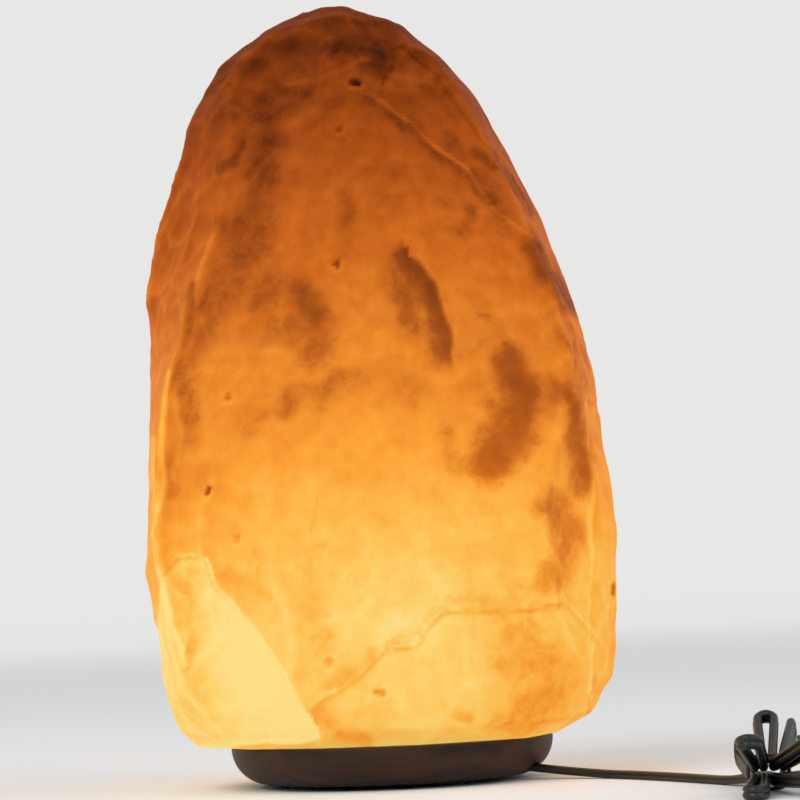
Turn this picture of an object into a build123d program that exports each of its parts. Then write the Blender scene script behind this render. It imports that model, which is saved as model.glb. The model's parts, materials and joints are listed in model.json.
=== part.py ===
from build123d import *

import math
import os

# Salt crystal lamp: a hewn salt block on a turned wooden disc, lit by a small bulb in a holder that is
# pushed up into the disc from below, with a flat two-core cord, an in-line switch and a flat two-pin plug.
# Millimetres, +Z up. The origin is on the floor, on the axis of the disc. The front of the lamp faces -Y.

# ---------------------------------------------------------------- driving dimensions: base
pad_thickness = 1.5
pad_radius = 5.0
pad_circle = 42.0
pad_azimuths = (32, 122, 212, 302)

base_radius = 64.0
base_thickness = 15.5
base_lower_round = 14.6
base_top_round = 0.8
base_hole_radius = 22.0

groove_azimuth = -20.0
groove_width = 6.4
groove_depth = 5.0

screw_azimuths = (77, 197, 317)
screw_circle = 36.0
screw_radius = 2.0
screw_length = 34.0
screw_head_radius = 4.0
screw_head_height = 2.2
screw_head_recess = 0.6
screw_hole_clearance = 0.25
screw_point = 2.5
plug_radius = 4.0
plug_length = 26.0
plug_slit = 0.8
plug_slit_length = 17.0

# ---------------------------------------------------------------- driving dimensions: salt block
# One row per height above the base's top: height, then how far the left side, the left ridge, the right
# ridge, the right side, the front and the back reach from the axis
block_stations = (
    (0.0, 77.0, 56.0, 52.0, 66.0, 58.0, 60.0),
    (7.0, 84.7, 66.0, 68.0, 80.2, 66.0, 67.0),
    (23.0, 88.5, 78.0, 77.0, 88.0, 72.0, 73.0),
    (49.0, 91.6, 84.0, 78.5, 92.6, 76.0, 76.5),
    (80.0, 92.6, 87.0, 77.5, 94.0, 77.0, 77.0),
    (113.0, 91.0, 85.0, 77.0, 90.2, 75.5, 76.0),
    (143.0, 90.2, 81.0, 76.0, 87.2, 72.0, 75.0),
    (173.0, 88.2, 71.0, 70.0, 79.5, 67.0, 72.0),
    (203.0, 85.3, 59.0, 60.0, 69.4, 60.5, 65.0),
    (231.0, 76.0, 54.0, 48.0, 57.0, 52.0, 54.5),
    (255.0, 68.0, 53.0, 37.0, 45.4, 43.5, 42.0),
    (273.0, 56.5, 45.0, 23.0, 30.5, 33.0, 30.0),
    (286.0, 39.5, 31.0, 10.0, 16.5, 21.0, 19.0),
    (292.5, 23.0, 17.0, -3.0, 1.0, 10.0, 9.0),
)
bore_radius = 25.0
bore_depth = 103.0
bore_mouth_chamfer = 2.0
plug_hole_clearance = 0.1

# ---------------------------------------------------------------- driving dimensions: lamp holder
holder_radius = 13.5
holder_bottom = 1.8
holder_wall = 1.7
cap_height = 15.2
cap_spigot = 4.0
cap_floor = 1.1
clamp_setback = 7.9
clamp_offset = holder_radius - clamp_setback
clamp_screw_offset = 4.5
shell_height = 30.0
shell_neck_radius = 8.0
shell_neck_depth = 20.0
rib_count = 16
rib_radius = 0.9
block_radius = 11.2
block_height = 9.0
thread_pitch = 2.822
thread_shell_radius = 7.2
thread_shell_wall = 0.3
thread_shell_height = 6 * thread_pitch
thread_shell_flange = 8.6
contact_width = 4.0
contact_thickness = 0.4
contact_reach = 4.4
contact_rise = 1.2
terminal_offset = 6.6
terminal_screw_radius = 1.5
fit_gap = 0.1
moving_gap = 0.3

clip_nut_height = 3.5
clip_nut_rim = 2.1
clip_nut_radius = holder_radius + clip_nut_rim
clip_nut_notches = 12
clip_thickness = 0.5
clip_width = 9.0
clip_height = 33.0
clip_bow_height = 9.0
clip_foot_height = 3.4

# ---------------------------------------------------------------- driving dimensions: bulb
tip_bottom = 27.2
tip_radius = 2.4
tip_height = 1.2
cap_shell_radius = 6.9
cap_shell_wall = 0.35
cap_shell_height = 15.0
insulator_height = 2.6
glass_radius = 11.0
glass_wall = 0.7
glass_neck_radius = 6.2
glass_shoulder = 7.0
glass_body = 22.0
stem_radius = 3.0
stem_height = 12.0
wire_radius = 0.35
wire_spread = 5.0
filament_height = 68.0
filament_rise = 3.0
filament_radius = 0.45

# ---------------------------------------------------------------- driving dimensions: cord
cord_width = 5.2
cord_thickness = 3.2
cord_groove_height = 4.6
cord_joint_radius = 58.0
hank_cord_diameter = 4.0
hank_sides_of_cord = 8
hank_strands = 8

tie_centre = (133.0, -147.0)
tie_height = 9.7
ring_radius = 6.1
strand_step = 43.0
ring_start_angle = 270.0 - (360.0 - 7 * strand_step) / 2
waist_half = 8.0
bend_radius = 4.8
tie_wire_radius = 0.6
tie_tail = 9.0

# Where each fold of the hank ends, seen from the lamp's front: sideways, up, and along the hank's axis
near_folds = ((-13.0, -2.6, 41.0), (-9.5, 9.8, 37.0), (13.0, 9.5, 40.0), (9.5, -3.9, 43.0))
far_folds = ((-14.0, 3.0, 42.0), (0.0, 14.5, 38.0), (15.0, 1.0, 44.0))

floor_lift = 0.05
floor_height = cord_thickness / 2 + floor_lift
run_points = (
    (77.0, -28.0, floor_height),
    (96.0, -53.0, floor_height),
    (113.0, -85.0, floor_height),
    (123.0, -107.0, floor_height),
)
switch_lead_points = (
    (137.0, -109.0, floor_height),
    (147.0, -93.0, floor_height),
    (162.0, -82.0, floor_height),
    (179.0, -73.0, floor_height),
    (189.0, -57.0, floor_height),
)
plug_lead_points = (
    (192.3, 62.0, floor_height),
    (200.0, 88.0, floor_height),
    (222.0, 106.0, floor_height),
    (248.0, 102.0, floor_height),
    (266.0, 82.0, floor_height),
    (266.0, 56.0, floor_height),
)
lead_straight = 12.0

# ---------------------------------------------------------------- driving dimensions: switch
switch_centre = (192.0, 0.0)
switch_length = 62.0
switch_width = 25.0
switch_height = 15.5
switch_split = 6.0
switch_end_width = 12.0
switch_taper = 15.0
switch_wall = 1.8
switch_edge = 1.2
switch_corner = 4.0
cord_in_switch = 5.0
rocker_length = 18.0
rocker_width = 9.0
rocker_proud = 1.6
rocker_crease = 0.3
rocker_depth = 3.5
rocker_tilt = 8.0
rocker_pivot_height = 10.0
rocker_window_gap = 1.3
rocker_pin_radius = 1.3
rocker_pin_length = 2.0
rocker_running_gap = 0.08
switch_screw_radius = 1.3
switch_screw_head = 2.3
switch_screw_offset = 20.0
switch_contact_width = 5.0
switch_contact_thickness = 0.6

# ---------------------------------------------------------------- driving dimensions: mains plug
mains_face = (254.0, -42.0)
mains_width = 35.3
mains_thickness = 13.7
mains_length = 36.0
mains_shoulder = 10.0
mains_neck_width = 14.0
mains_edge = 2.5
pin_spacing = 18.6
pin_radius = 2.0
pin_length = 19.0
pin_tip_round = 0.9
pin_root = 8.0
sleeve_radius = 1.75
sleeve_core_radius = 1.4
sleeve_length = 10.0
relief_length = 24.0
relief_base = (10.0, 8.0)
relief_end = (6.6, 4.8)
relief_groove = 0.8
relief_ribs = 5

# ---------------------------------------------------------------- heights that follow
base_bottom = pad_thickness
base_top = base_bottom + base_thickness
cap_top = holder_bottom + cap_height
shell_top = cap_top + shell_height
contact_block_top = tip_bottom - moving_gap - contact_rise - contact_thickness
contact_block_bottom = contact_block_top - block_height
cap_shell_bottom = tip_bottom + tip_height + insulator_height
cap_shell_top = cap_shell_bottom + cap_shell_height - insulator_height
mains_height = mains_thickness / 2


def polar(radius, azimuth, z=0.0):
    """A point at a radius and azimuth (degrees) about the lamp's axis."""
    turn = math.radians(azimuth)
    return (radius * math.cos(turn), radius * math.sin(turn), z)


def tube(outer, inner, bottom, top):
    """A ring about the lamp's axis between two heights."""
    ring = Circle(outer) - Circle(inner)
    return extrude(Pos(0, 0, bottom) * ring, top - bottom)


def disc(radius, bottom, top):
    """A solid cylinder about the lamp's axis between two heights."""
    return extrude(Pos(0, 0, bottom) * Circle(radius), top - bottom)


def revolved(points):
    """The solid turned about the lamp's axis from (radius, height) points in order."""
    outline = Polyline(*[(r, 0, z) for r, z in points], close=True)
    return revolve(make_face(outline), Axis.Z)


def around(shape, azimuths):
    """Copies of a shape turned about the lamp's axis, as one group."""
    return Compound(children=[Rot(0, 0, a) * shape for a in azimuths])


def strip(line, thickness, width):
    """A sheet-metal strip: a line drawn in (radius, height), given its thickness, and as wide across."""
    return Rot(90, 0, 0) * extrude(trace(line, thickness), width / 2, both=True)


# ---------------------------------------------------------------- base
def make_base_pads():
    pad = extrude(Circle(pad_radius), pad_thickness)
    pad = chamfer(pad.edges().group_by(Axis.Z)[0], 0.3)
    return around(Pos(pad_circle, 0, 0) * pad, pad_azimuths)


def screw_cone(extra):
    """The countersunk head's cone, grown all round by a clearance."""
    bottom = base_bottom + screw_head_recess
    head = Pos(screw_circle, 0, bottom) * Cone(
        screw_head_radius + extra, screw_radius + extra, screw_head_height,
        align=(Align.CENTER, Align.CENTER, Align.MIN))
    mouth = Pos(screw_circle, 0, base_bottom - 1) * Cylinder(
        screw_head_radius + extra, screw_head_recess + 1,
        align=(Align.CENTER, Align.CENTER, Align.MIN))
    return head, mouth


def make_wood_base():
    base = disc(base_radius, base_bottom, base_top)
    lower_round = min(base_lower_round, base_thickness - base_top_round - 0.1)
    base = fillet(base.edges().group_by(Axis.Z)[0], lower_round)
    base = fillet(base.edges().group_by(Axis.Z)[-1], base_top_round)
    base -= disc(base_hole_radius, base_bottom, base_top)
    groove = Pos((base_hole_radius + base_radius) / 2, 0, base_bottom + groove_depth / 2) * Box(
        base_radius - base_hole_radius + 8, groove_width, groove_depth)
    base -= Rot(0, 0, groove_azimuth) * groove
    head, mouth = screw_cone(screw_hole_clearance)
    shank = Pos(screw_circle, 0, base_bottom) * Cylinder(
        screw_radius + screw_hole_clearance, base_thickness, align=(Align.CENTER, Align.CENTER, Align.MIN))
    for azimuth in screw_azimuths:
        base -= Rot(0, 0, azimuth) * (head + mouth + shank)
    return base


def make_base_screws():
    head, _ = screw_cone(0)
    bottom = base_bottom + screw_head_recess
    shank_length = screw_length - screw_head_height - screw_point
    shank = Pos(screw_circle, 0, bottom + screw_head_height) * Cylinder(
        screw_radius, shank_length, align=(Align.CENTER, Align.CENTER, Align.MIN))
    point = Pos(screw_circle, 0, bottom + screw_head_height + shank_length) * Cone(
        screw_radius, 0.3, screw_point, align=(Align.CENTER, Align.CENTER, Align.MIN))
    slot = Box(screw_head_radius * 1.1, 1.0, 1.6) + Box(1.0, screw_head_radius * 1.1, 1.6)
    screw = head + shank + point - Pos(screw_circle, 0, bottom) * slot
    return around(screw, screw_azimuths)


def make_screw_plugs():
    body = Pos(screw_circle, 0, base_top) * Cylinder(
        plug_radius, plug_length, align=(Align.CENTER, Align.CENTER, Align.MIN))
    body = chamfer(body.edges().group_by(Axis.Z)[-1], 1.0)
    body -= Pos(screw_circle, 0, base_top) * Cylinder(
        screw_radius + 0.05, plug_length, align=(Align.CENTER, Align.CENTER, Align.MIN))
    slit_middle = base_top + plug_length - plug_slit_length / 2
    body -= Pos(screw_circle, 0, slit_middle) * Box(plug_slit, 2.2 * plug_radius, plug_slit_length)
    # The slit's two halves stay joined by the plug's collar at the base
    return around(body, screw_azimuths)


# ---------------------------------------------------------------- salt block
def block_section(height, left, left_ridge, right_ridge, right, front, back):
    """The outline at one height: a broad front face between two ridges, flanks, and a rounder back."""
    span = left_ridge + right_ridge
    corners = [
        (-left, -0.06 * front),
        (-left_ridge, -0.66 * front),
        (-left_ridge + 0.27 * span, -0.93 * front),
        (-left_ridge + 0.62 * span, -1.0 * front),
        (right_ridge, -0.70 * front),
        (right, -0.04 * front),
        (0.83 * right, 0.56 * back),
        (0.34 * right, 0.96 * back),
        (-0.36 * left, 1.0 * back),
        (-0.83 * left, 0.58 * back),
    ]
    return Pos(0, 0, base_top + height) * make_face(Polyline(*corners, close=True))


def scoop(radius, centre):
    """A shallow shell-shaped break where a flake has come off."""
    return Pos(*centre) * Sphere(radius)


def make_salt_crystal():
    block = loft([block_section(*row) for row in block_stations], ruled=True)
    # Flakes off the front: low on the left, low in the middle, low on the right, and beside the right ridge
    block -= scoop(90.0, (-101.0, -131.0, base_top + 30.0))
    block -= scoop(150.0, (14.0, -217.0, base_top + 12.0))
    block -= scoop(107.0, (86.0, -160.0, base_top + 16.0))
    block -= scoop(150.0, (196.0, -126.0, base_top + 78.0))
    # The front's lower edge, chipped up off the base
    block -= scoop(36.0, (30.0, -92.0, base_top - 14.0))
    # Flakes off the back and the crown
    block -= scoop(130.0, (-46.0, 198.5, base_top + 96.0))
    block -= scoop(110.0, (84.0, 148.0, base_top + 196.0))
    block -= scoop(90.0, (-60.0, -104.0, base_top + 300.0))
    block -= disc(bore_radius, base_top, base_top + bore_depth)
    block -= Pos(0, 0, base_top) * Cone(
        bore_radius + bore_mouth_chamfer, bore_radius, bore_mouth_chamfer,
        align=(Align.CENTER, Align.CENTER, Align.MIN))
    hole = Pos(screw_circle, 0, base_top) * Cylinder(
        plug_radius + plug_hole_clearance, screw_length, align=(Align.CENTER, Align.CENTER, Align.MIN))
    for azimuth in screw_azimuths:
        block -= Rot(0, 0, azimuth) * hole
    return block


# ---------------------------------------------------------------- lamp holder
def cord_window(extra, start, end):
    """The cord's own flat section as a bar along the groove, from one radius to another."""
    section = SlotOverall(cord_width + extra, cord_thickness + extra)
    outward = Plane(origin=(start, 0, cord_groove_height), x_dir=(0, 1, 0), z_dir=(1, 0, 0))
    return Rot(0, 0, groove_azimuth) * extrude(outward * section, end - start)


def make_holder_cap():
    """The lower half: a ribbed cup with a nozzle for the cord and a spigot that the sleeve slides over."""
    inside = holder_radius - holder_wall - 1.0
    spigot = holder_radius - holder_wall - fit_gap
    cap = revolved([
        (0, holder_bottom),
        (holder_radius, holder_bottom),
        (holder_radius, cap_top),
        (spigot, cap_top),
        (spigot, cap_top + cap_spigot),
        (inside, cap_top + cap_spigot),
        (inside, holder_bottom + cap_floor),
        (0, holder_bottom + cap_floor),
    ])
    cap = fillet(cap.edges().group_by(Axis.Z)[0], 0.9)
    rib = Pos(holder_radius, 0, holder_bottom + 2) * Cylinder(
        rib_radius, cap_height - 3, align=(Align.CENTER, Align.CENTER, Align.MIN))
    for n in range(rib_count):
        cap += Rot(0, 0, groove_azimuth + (n + 0.5) * 360 / rib_count) * rib
    nozzle = Pos(holder_radius + 1.6, 0, cord_groove_height) * Box(
        5.2, cord_width + 2.8, cord_thickness + 2.2)
    nozzle -= disc(inside + 0.5, 0, cap_top)
    cap += Rot(0, 0, groove_azimuth) * nozzle
    return cap - cord_window(0.3, holder_radius - 4, holder_radius + 6)


def make_cord_clamp():
    """The plate that presses the cord down on the cap's floor."""
    height = cord_groove_height + cord_thickness / 2
    plate = Pos(clamp_offset, 0, height + 0.9) * Box(5.0, 12.4, 1.6)
    plate = fillet(plate.edges().filter_by(Axis.Z), 1.2)
    for side in (-1, 1):
        plate -= Pos(clamp_offset, side * clamp_screw_offset, height) * Cylinder(1.1, 6)
    return Rot(0, 0, groove_azimuth) * plate


def make_clamp_screws():
    height = cord_groove_height + cord_thickness / 2 + 1.7
    screws = []
    floor = holder_bottom + cap_floor
    for side in (-1, 1):
        head = Pos(clamp_offset, side * clamp_screw_offset, height + 0.6) * Cylinder(1.7, 1.2)
        middle = Pos(clamp_offset, side * clamp_screw_offset, (height + floor) / 2)
        shank = middle * Cylinder(1.0, height - floor)
        slot = Pos(clamp_offset, side * clamp_screw_offset, height + 1.2) * Box(4.0, 0.5, 0.9)
        screws.append(Rot(0, 0, groove_azimuth) * (head + shank - slot))
    return Compound(children=screws)


def make_holder_shell():
    """The sleeve: a skirt over the spigot, a shoulder for the ring nut, a neck round the screw shell."""
    step = clip_height - clip_thickness
    shell = revolved([
        (holder_radius - holder_wall, cap_top),
        (holder_radius, cap_top),
        (holder_radius, step),
        (holder_radius - 0.9, step),
        (holder_radius - 0.9, shell_top - 1.2),
        (holder_radius - 2.1, shell_top),
        (shell_neck_radius + 0.8, shell_top),
        (shell_neck_radius, shell_top - 0.8),
        (shell_neck_radius, shell_top - shell_neck_depth + 1.5),
        (thread_shell_flange + fit_gap, shell_top - shell_neck_depth + 1.5),
        (thread_shell_flange + fit_gap, contact_block_top + thread_shell_wall),
        (holder_radius - holder_wall, contact_block_top + thread_shell_wall),
    ])
    return shell


def make_contact_block():
    inside = holder_radius - holder_wall - 1.0 - fit_gap
    seat = cap_top + cap_spigot
    block = revolved([
        (0, contact_block_bottom),
        (inside - 0.8, contact_block_bottom),
        (inside, contact_block_bottom + 0.8),
        (inside, seat),
        (block_radius, seat),
        (block_radius, contact_block_top),
        (0, contact_block_top),
    ])
    block -= disc(4.6, contact_block_bottom, contact_block_bottom + 4.0)
    for side in (-1, 1):
        block -= Pos(side * terminal_offset, 0, contact_block_bottom) * Box(4.4, 5.4, 7.0)
    return block


def make_thread_shell():
    outer = thread_shell_radius + thread_shell_wall
    bottom = contact_block_top
    return revolved([
        (3.2, bottom),
        (thread_shell_flange, bottom),
        (thread_shell_flange, bottom + thread_shell_wall),
        (outer, bottom + thread_shell_wall),
        (outer, bottom + thread_shell_height),
        (thread_shell_radius, bottom + thread_shell_height),
        (thread_shell_radius, bottom + thread_shell_wall),
        (3.2, bottom + thread_shell_wall),
    ])


def make_centre_contact():
    """A leaf that lies on the block inside the screw shell's floor and lifts to the bulb's tip."""
    low = contact_block_top + contact_thickness / 2
    high = low + contact_rise
    line = Polyline((-contact_reach / 2, low), (-0.7, low), (0.2, high), (contact_reach / 2, high))
    return strip(line, contact_thickness, contact_width)


def make_terminals():
    """Two brass terminal blocks in the underside of the insulating block, with a hole across for the wire."""
    made = []
    hole = Cylinder(terminal_screw_radius + 0.05, 3)
    for side in (-1, 1):
        body = Pos(side * terminal_offset, 0, contact_block_bottom + 1.2) * Box(4.2, 5.2, 4.4)
        body -= Pos(side * terminal_offset, 0, contact_block_bottom - 0.2) * hole
        made.append(body)
    return Compound(children=made)


def make_terminal_screws():
    made = []
    head_top = contact_block_bottom - 1.0
    for side in (-1, 1):
        shank = Pos(side * terminal_offset, 0, head_top + 1.1) * Cylinder(terminal_screw_radius, 2.4)
        head = Pos(side * terminal_offset, 0, head_top - 0.7) * Cylinder(2.0, 1.4)
        slot = Pos(side * terminal_offset, 0, head_top - 1.4) * Box(0.6, 5.0, 1.2)
        made.append(shank + head - slot)
    return Compound(children=made)


def make_spring_clip():
    """A ring on the sleeve's shoulder with two bowed wings that press on the wall of the base's hole."""
    top = clip_height
    ring = tube(clip_nut_radius, holder_radius - 0.9 + fit_gap, top - clip_thickness, top)
    widest = base_hole_radius - moving_gap - clip_thickness / 2
    middle = top - clip_thickness / 2
    line = FilletPolyline(
        (holder_radius + 0.6, middle),
        (holder_radius + 4.4, middle),
        (widest, base_bottom + clip_bow_height),
        (widest - 4.0, base_bottom + clip_foot_height),
        radius=(2.0, 3.0))
    wing = strip(line, clip_thickness, clip_width)
    clip = ring + wing + Rot(0, 0, 180) * wing
    return Rot(0, 0, groove_azimuth + 90) * clip


def make_clip_nut():
    nut = tube(clip_nut_radius, holder_radius - 0.9 + fit_gap, clip_height, clip_height + clip_nut_height)
    notch = Pos(clip_nut_radius, 0, clip_height + clip_nut_height / 2) * Cylinder(0.9, clip_nut_height)
    for n in range(clip_nut_notches):
        nut -= Rot(0, 0, n * 360 / clip_nut_notches) * notch
    return nut


# ---------------------------------------------------------------- bulb
def make_bulb_tip():
    tip = disc(tip_radius, tip_bottom, tip_bottom + tip_height - 0.1)
    return fillet(tip.edges().group_by(Axis.Z)[0], 0.8)


def make_bulb_insulator():
    bottom = tip_bottom + tip_height
    return revolved([
        (0, bottom),
        (tip_radius + 0.3, bottom),
        (cap_shell_radius - 1.2, bottom + insulator_height),
        (0, bottom + insulator_height),
    ])


def make_bulb_cap():
    return revolved([
        (cap_shell_radius - 2.2, cap_shell_bottom),
        (cap_shell_radius - 0.9, cap_shell_bottom),
        (cap_shell_radius, cap_shell_bottom + 1.2),
        (cap_shell_radius, cap_shell_top),
        (cap_shell_radius - cap_shell_wall, cap_shell_top),
        (cap_shell_radius - cap_shell_wall, cap_shell_bottom + 1.4),
        (cap_shell_radius - 1.1, cap_shell_bottom + cap_shell_wall),
        (cap_shell_radius - 2.2, cap_shell_bottom + cap_shell_wall),
    ])


def bulb_outline(inset):
    """Half of the bulb's outline, drawn in by an inset: neck, rounded shoulder, straight side, domed end."""
    foot = cap_shell_top - 2.5
    side = glass_radius - inset
    neck = glass_neck_radius - inset
    shoulder_foot = cap_shell_top + 1.2
    shoulder_top = shoulder_foot + glass_shoulder
    dome_foot = shoulder_top + glass_body
    return Line((0, 0, foot), (neck, 0, foot)) + Line((neck, 0, foot), (neck, 0, shoulder_foot)) + Spline(
        (neck, 0, shoulder_foot), (side, 0, shoulder_top), tangents=((0, 0, 1), (0, 0, 1))
    ) + Line((side, 0, shoulder_top), (side, 0, dome_foot)) + ThreePointArc(
        (side, 0, dome_foot),
        (side * math.cos(math.pi / 4), 0, dome_foot + side * math.sin(math.pi / 4)),
        (0, 0, dome_foot + side),
    ) + Line((0, 0, dome_foot + side), (0, 0, foot))


def make_bulb_glass():
    outer = revolve(make_face(bulb_outline(0)), Axis.Z)
    inner = revolve(make_face(bulb_outline(glass_wall)), Axis.Z)
    return outer - inner


def make_bulb_stem():
    foot = cap_shell_top - 2.5
    return revolved([
        (0, foot),
        (glass_neck_radius - glass_wall, foot),
        (stem_radius, foot + 3.0),
        (stem_radius - 0.8, foot + stem_height - 2.5),
        (stem_radius - 1.4, foot + stem_height),
        (0, foot + stem_height),
    ])


def make_lead_wires():
    """Two wires that rise from the stem and spread to the ends of the filament."""
    foot = cap_shell_top - 2.5 + stem_height
    wires = []
    for side in (-1, 1):
        line = Polyline((side * 0.9, 0, foot), (side * 0.9, 0, foot + 2.0),
                        (side * wire_spread, 0, filament_height))
        profile = Plane(origin=line @ 0, z_dir=line % 0) * Circle(wire_radius)
        wires.append(sweep(profile, path=line, transition=Transition.RIGHT))
    return Compound(children=wires)


def make_filament():
    """The coil, as the plain round bar that it reads as: an arch from wire to wire."""
    foot = filament_height + filament_radius
    line = ThreePointArc((-wire_spread, 0, foot), (0, 0, foot + filament_rise), (wire_spread, 0, foot))
    profile = Plane(origin=line @ 0, z_dir=line % 0) * Circle(filament_radius)
    return sweep(profile, path=line)


# ---------------------------------------------------------------- cord routes
def bend_radii(points, share=0.45):
    """The largest arc at each corner: a share of the shorter run, over the tangent of half the turn."""
    radii = []
    for before, corner, after in zip(points, points[1:], points[2:]):
        first, second = Vector(*corner) - Vector(*before), Vector(*after) - Vector(*corner)
        half_turn = math.radians(first.get_angle(second)) / 2
        radii.append(share * min(first.length, second.length) / math.tan(half_turn))
    return radii


def route(name, points):
    """The cord's centreline: straight runs joined by tangent arcs. Prints the arcs' radii."""
    radii = bend_radii(points)
    print(f"{name}: bend radii {[round(r, 1) for r in radii]} mm")
    return FilletPolyline(*points, radius=radii)


def flat_cord(name, points):
    """The flat two-core section swept along a route, with its flat side down."""
    line = route(name, points)
    profile = Plane(origin=line @ 0, x_dir=Vector(0, 0, 1).cross(line % 0), z_dir=line % 0) * SlotOverall(
        cord_width, cord_thickness)
    solid = sweep(profile, path=line)
    expected = profile.area * line.length
    print(f"{name}: length {line.length:.1f} mm, volume {solid.volume:.0f} against {expected:.0f} cubic mm")
    return solid


def slot_point(number, along):
    """The middle of one strand at the tie: strands lie round a ring, in the order that they are wound."""
    angle = math.radians(ring_start_angle - number * strand_step)
    return (tie_centre[0] + ring_radius * math.cos(angle), tie_centre[1] + along,
            tie_height + ring_radius * math.sin(angle))


def fold_points(number, side):
    """The three corners round the fold from one strand to the next, at the near or the far end."""
    sideways, up, reach = (near_folds if side < 0 else far_folds)[number // 2]
    ring_here, ring_next = Vector(*slot_point(number, 0)), Vector(*slot_point(number + 1, 0))
    across = (ring_next - ring_here).normalized()
    end = Vector(tie_centre[0] + sideways, tie_centre[1] + side * reach, tie_height + up)
    outward = (end - (ring_here + ring_next) * 0.5).normalized()
    half = bend_radius * math.tan(math.radians(30))
    return [tuple(end - across * bend_radius + outward * half),
            tuple(end + outward * 2 * half),
            tuple(end + across * bend_radius + outward * half)]


def hank_points():
    """The hank's corners in order: in at the far side, eight strands through the tie, out at the far side."""
    points = [slot_point(0, waist_half)]
    for number in range(hank_strands):
        side = -1 if number % 2 == 0 else 1
        if number > 0:
            points.append(slot_point(number, -side * waist_half / 2))
        if number < hank_strands - 1:
            points.append(slot_point(number, side * waist_half / 2))
        if number < hank_strands - 1:
            points += fold_points(number, side)
    points.append(slot_point(hank_strands - 1, waist_half))
    return points


def least_self_gap(line, samples=700):
    """The least distance between stretches of the tube not beside each other along it, less its diameter."""
    spots = [tuple(line @ (n / samples)) for n in range(samples + 1)]
    apart = int(1.6 * hank_cord_diameter * math.pi / 2 * samples / line.length) + 1
    least = min(math.dist(spots[i], spots[j])
                for i in range(samples + 1) for j in range(i + apart, samples + 1))
    return least - hank_cord_diameter


def make_cord_inner():
    """The stretch in the base's groove, from under the clamp to just inside the rim."""
    return cord_window(0, clamp_offset - 3.0, cord_joint_radius)


def make_cord_run():
    start = polar(cord_joint_radius + moving_gap, groove_azimuth, cord_groove_height)
    tie_side = slot_point(0, waist_half)
    straight = slot_point(0, waist_half + lead_straight)
    return flat_cord("cord_run", [start, *run_points, straight, tie_side])


def make_cord_hank():
    line = route("cord_hank", hank_points())
    octagon = RegularPolygon(hank_cord_diameter / 2, hank_sides_of_cord)
    profile = Plane(origin=line @ 0, z_dir=line % 0) * octagon
    solid = sweep(profile, path=line)
    print(f"cord_hank: length {line.length:.0f} mm, volume {solid.volume:.0f} against "
          f"{profile.area * line.length:.0f} cubic mm, least gap to itself {least_self_gap(line):.2f} mm")
    return solid


def make_cord_to_switch():
    tie_side = slot_point(hank_strands - 1, waist_half)
    straight = slot_point(hank_strands - 1, waist_half + lead_straight)
    x, y = switch_centre
    inside = y - switch_length / 2 + cord_in_switch
    return flat_cord("cord_to_switch", [
        tie_side, straight, *switch_lead_points,
        (x, inside - lead_straight, switch_split), (x, inside, switch_split)])


def make_cord_to_plug():
    x, y = switch_centre
    inside = y + switch_length / 2 - cord_in_switch
    relief_mouth = mains_face[1] + mains_length + relief_length
    return flat_cord("cord_to_plug", [
        (x, inside, switch_split), (x, inside + lead_straight, switch_split), *plug_lead_points,
        (mains_face[0], relief_mouth + 1.5 * lead_straight, mains_height),
        (mains_face[0], relief_mouth, mains_height)])


def make_twist_tie():
    """A covered wire round the strands, with its two ends twisted off to one side."""
    ring = ring_radius + hank_cord_diameter / 2 + 0.15 + tie_wire_radius
    tie = Rot(90, 0, 0) * Torus(ring, tie_wire_radius)
    tail = Pos(tie_tail / 2, 0, 0) * Rot(0, 90, 0) * Cylinder(tie_wire_radius, tie_tail)
    for lean in (-12, 12):
        tie += Rot(0, -20, 0) * Pos(ring, 0, 0) * Rot(0, 0, lean) * tail
    return Pos(tie_centre[0], tie_centre[1], tie_height) * tie


# ---------------------------------------------------------------- switch
def switch_outline(inset=0.0):
    """The switch seen from above, drawn in by an inset."""
    half_width, half_length = switch_width / 2, switch_length / 2
    half_end, shoulder = switch_end_width / 2, switch_length / 2 - switch_taper
    corners = [(half_width, shoulder), (half_end, half_length), (-half_end, half_length),
               (-half_width, shoulder), (-half_width, -shoulder), (-half_end, -half_length),
               (half_end, -half_length), (half_width, -shoulder)]
    face = make_face(Polyline(*corners, close=True))
    face = fillet(face.vertices(), switch_corner)
    return offset(face, -inset) if inset else face


def switch_cord_windows():
    """Both cord openings, as bars of the cord's own section grown by a clearance."""
    section = SlotOverall(cord_width + 0.3, cord_thickness + 0.3)
    bars = []
    for end in (-1, 1):
        origin = (0, end * (switch_length / 2 - 8), switch_split)
        bars.append(extrude(Plane(origin=origin, x_dir=(1, 0, 0), z_dir=(0, end, 0)) * section, 12))
    return bars


def in_switch(shape):
    """A shape moved from the switch's own middle to where the switch lies."""
    return Pos(switch_centre[0], switch_centre[1], 0) * shape


def make_switch_lower_shell():
    shell = extrude(switch_outline(), switch_split)
    shell = fillet(shell.edges().group_by(Axis.Z)[0], switch_edge)
    shell -= extrude(Pos(0, 0, switch_wall) * switch_outline(switch_wall), switch_split)
    for end in (-1, 1):
        spot = Pos(0, end * switch_screw_offset, 0)
        shell += spot * Cylinder(3.2, switch_split, align=(Align.CENTER, Align.CENTER, Align.MIN))
        shell -= spot * Cylinder(switch_screw_radius + 0.2, 3 * switch_split)
        shell -= spot * Cylinder(switch_screw_head + 0.2, 2 * 1.8)
    for bar in switch_cord_windows():
        shell -= bar
    return in_switch(shell)


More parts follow.
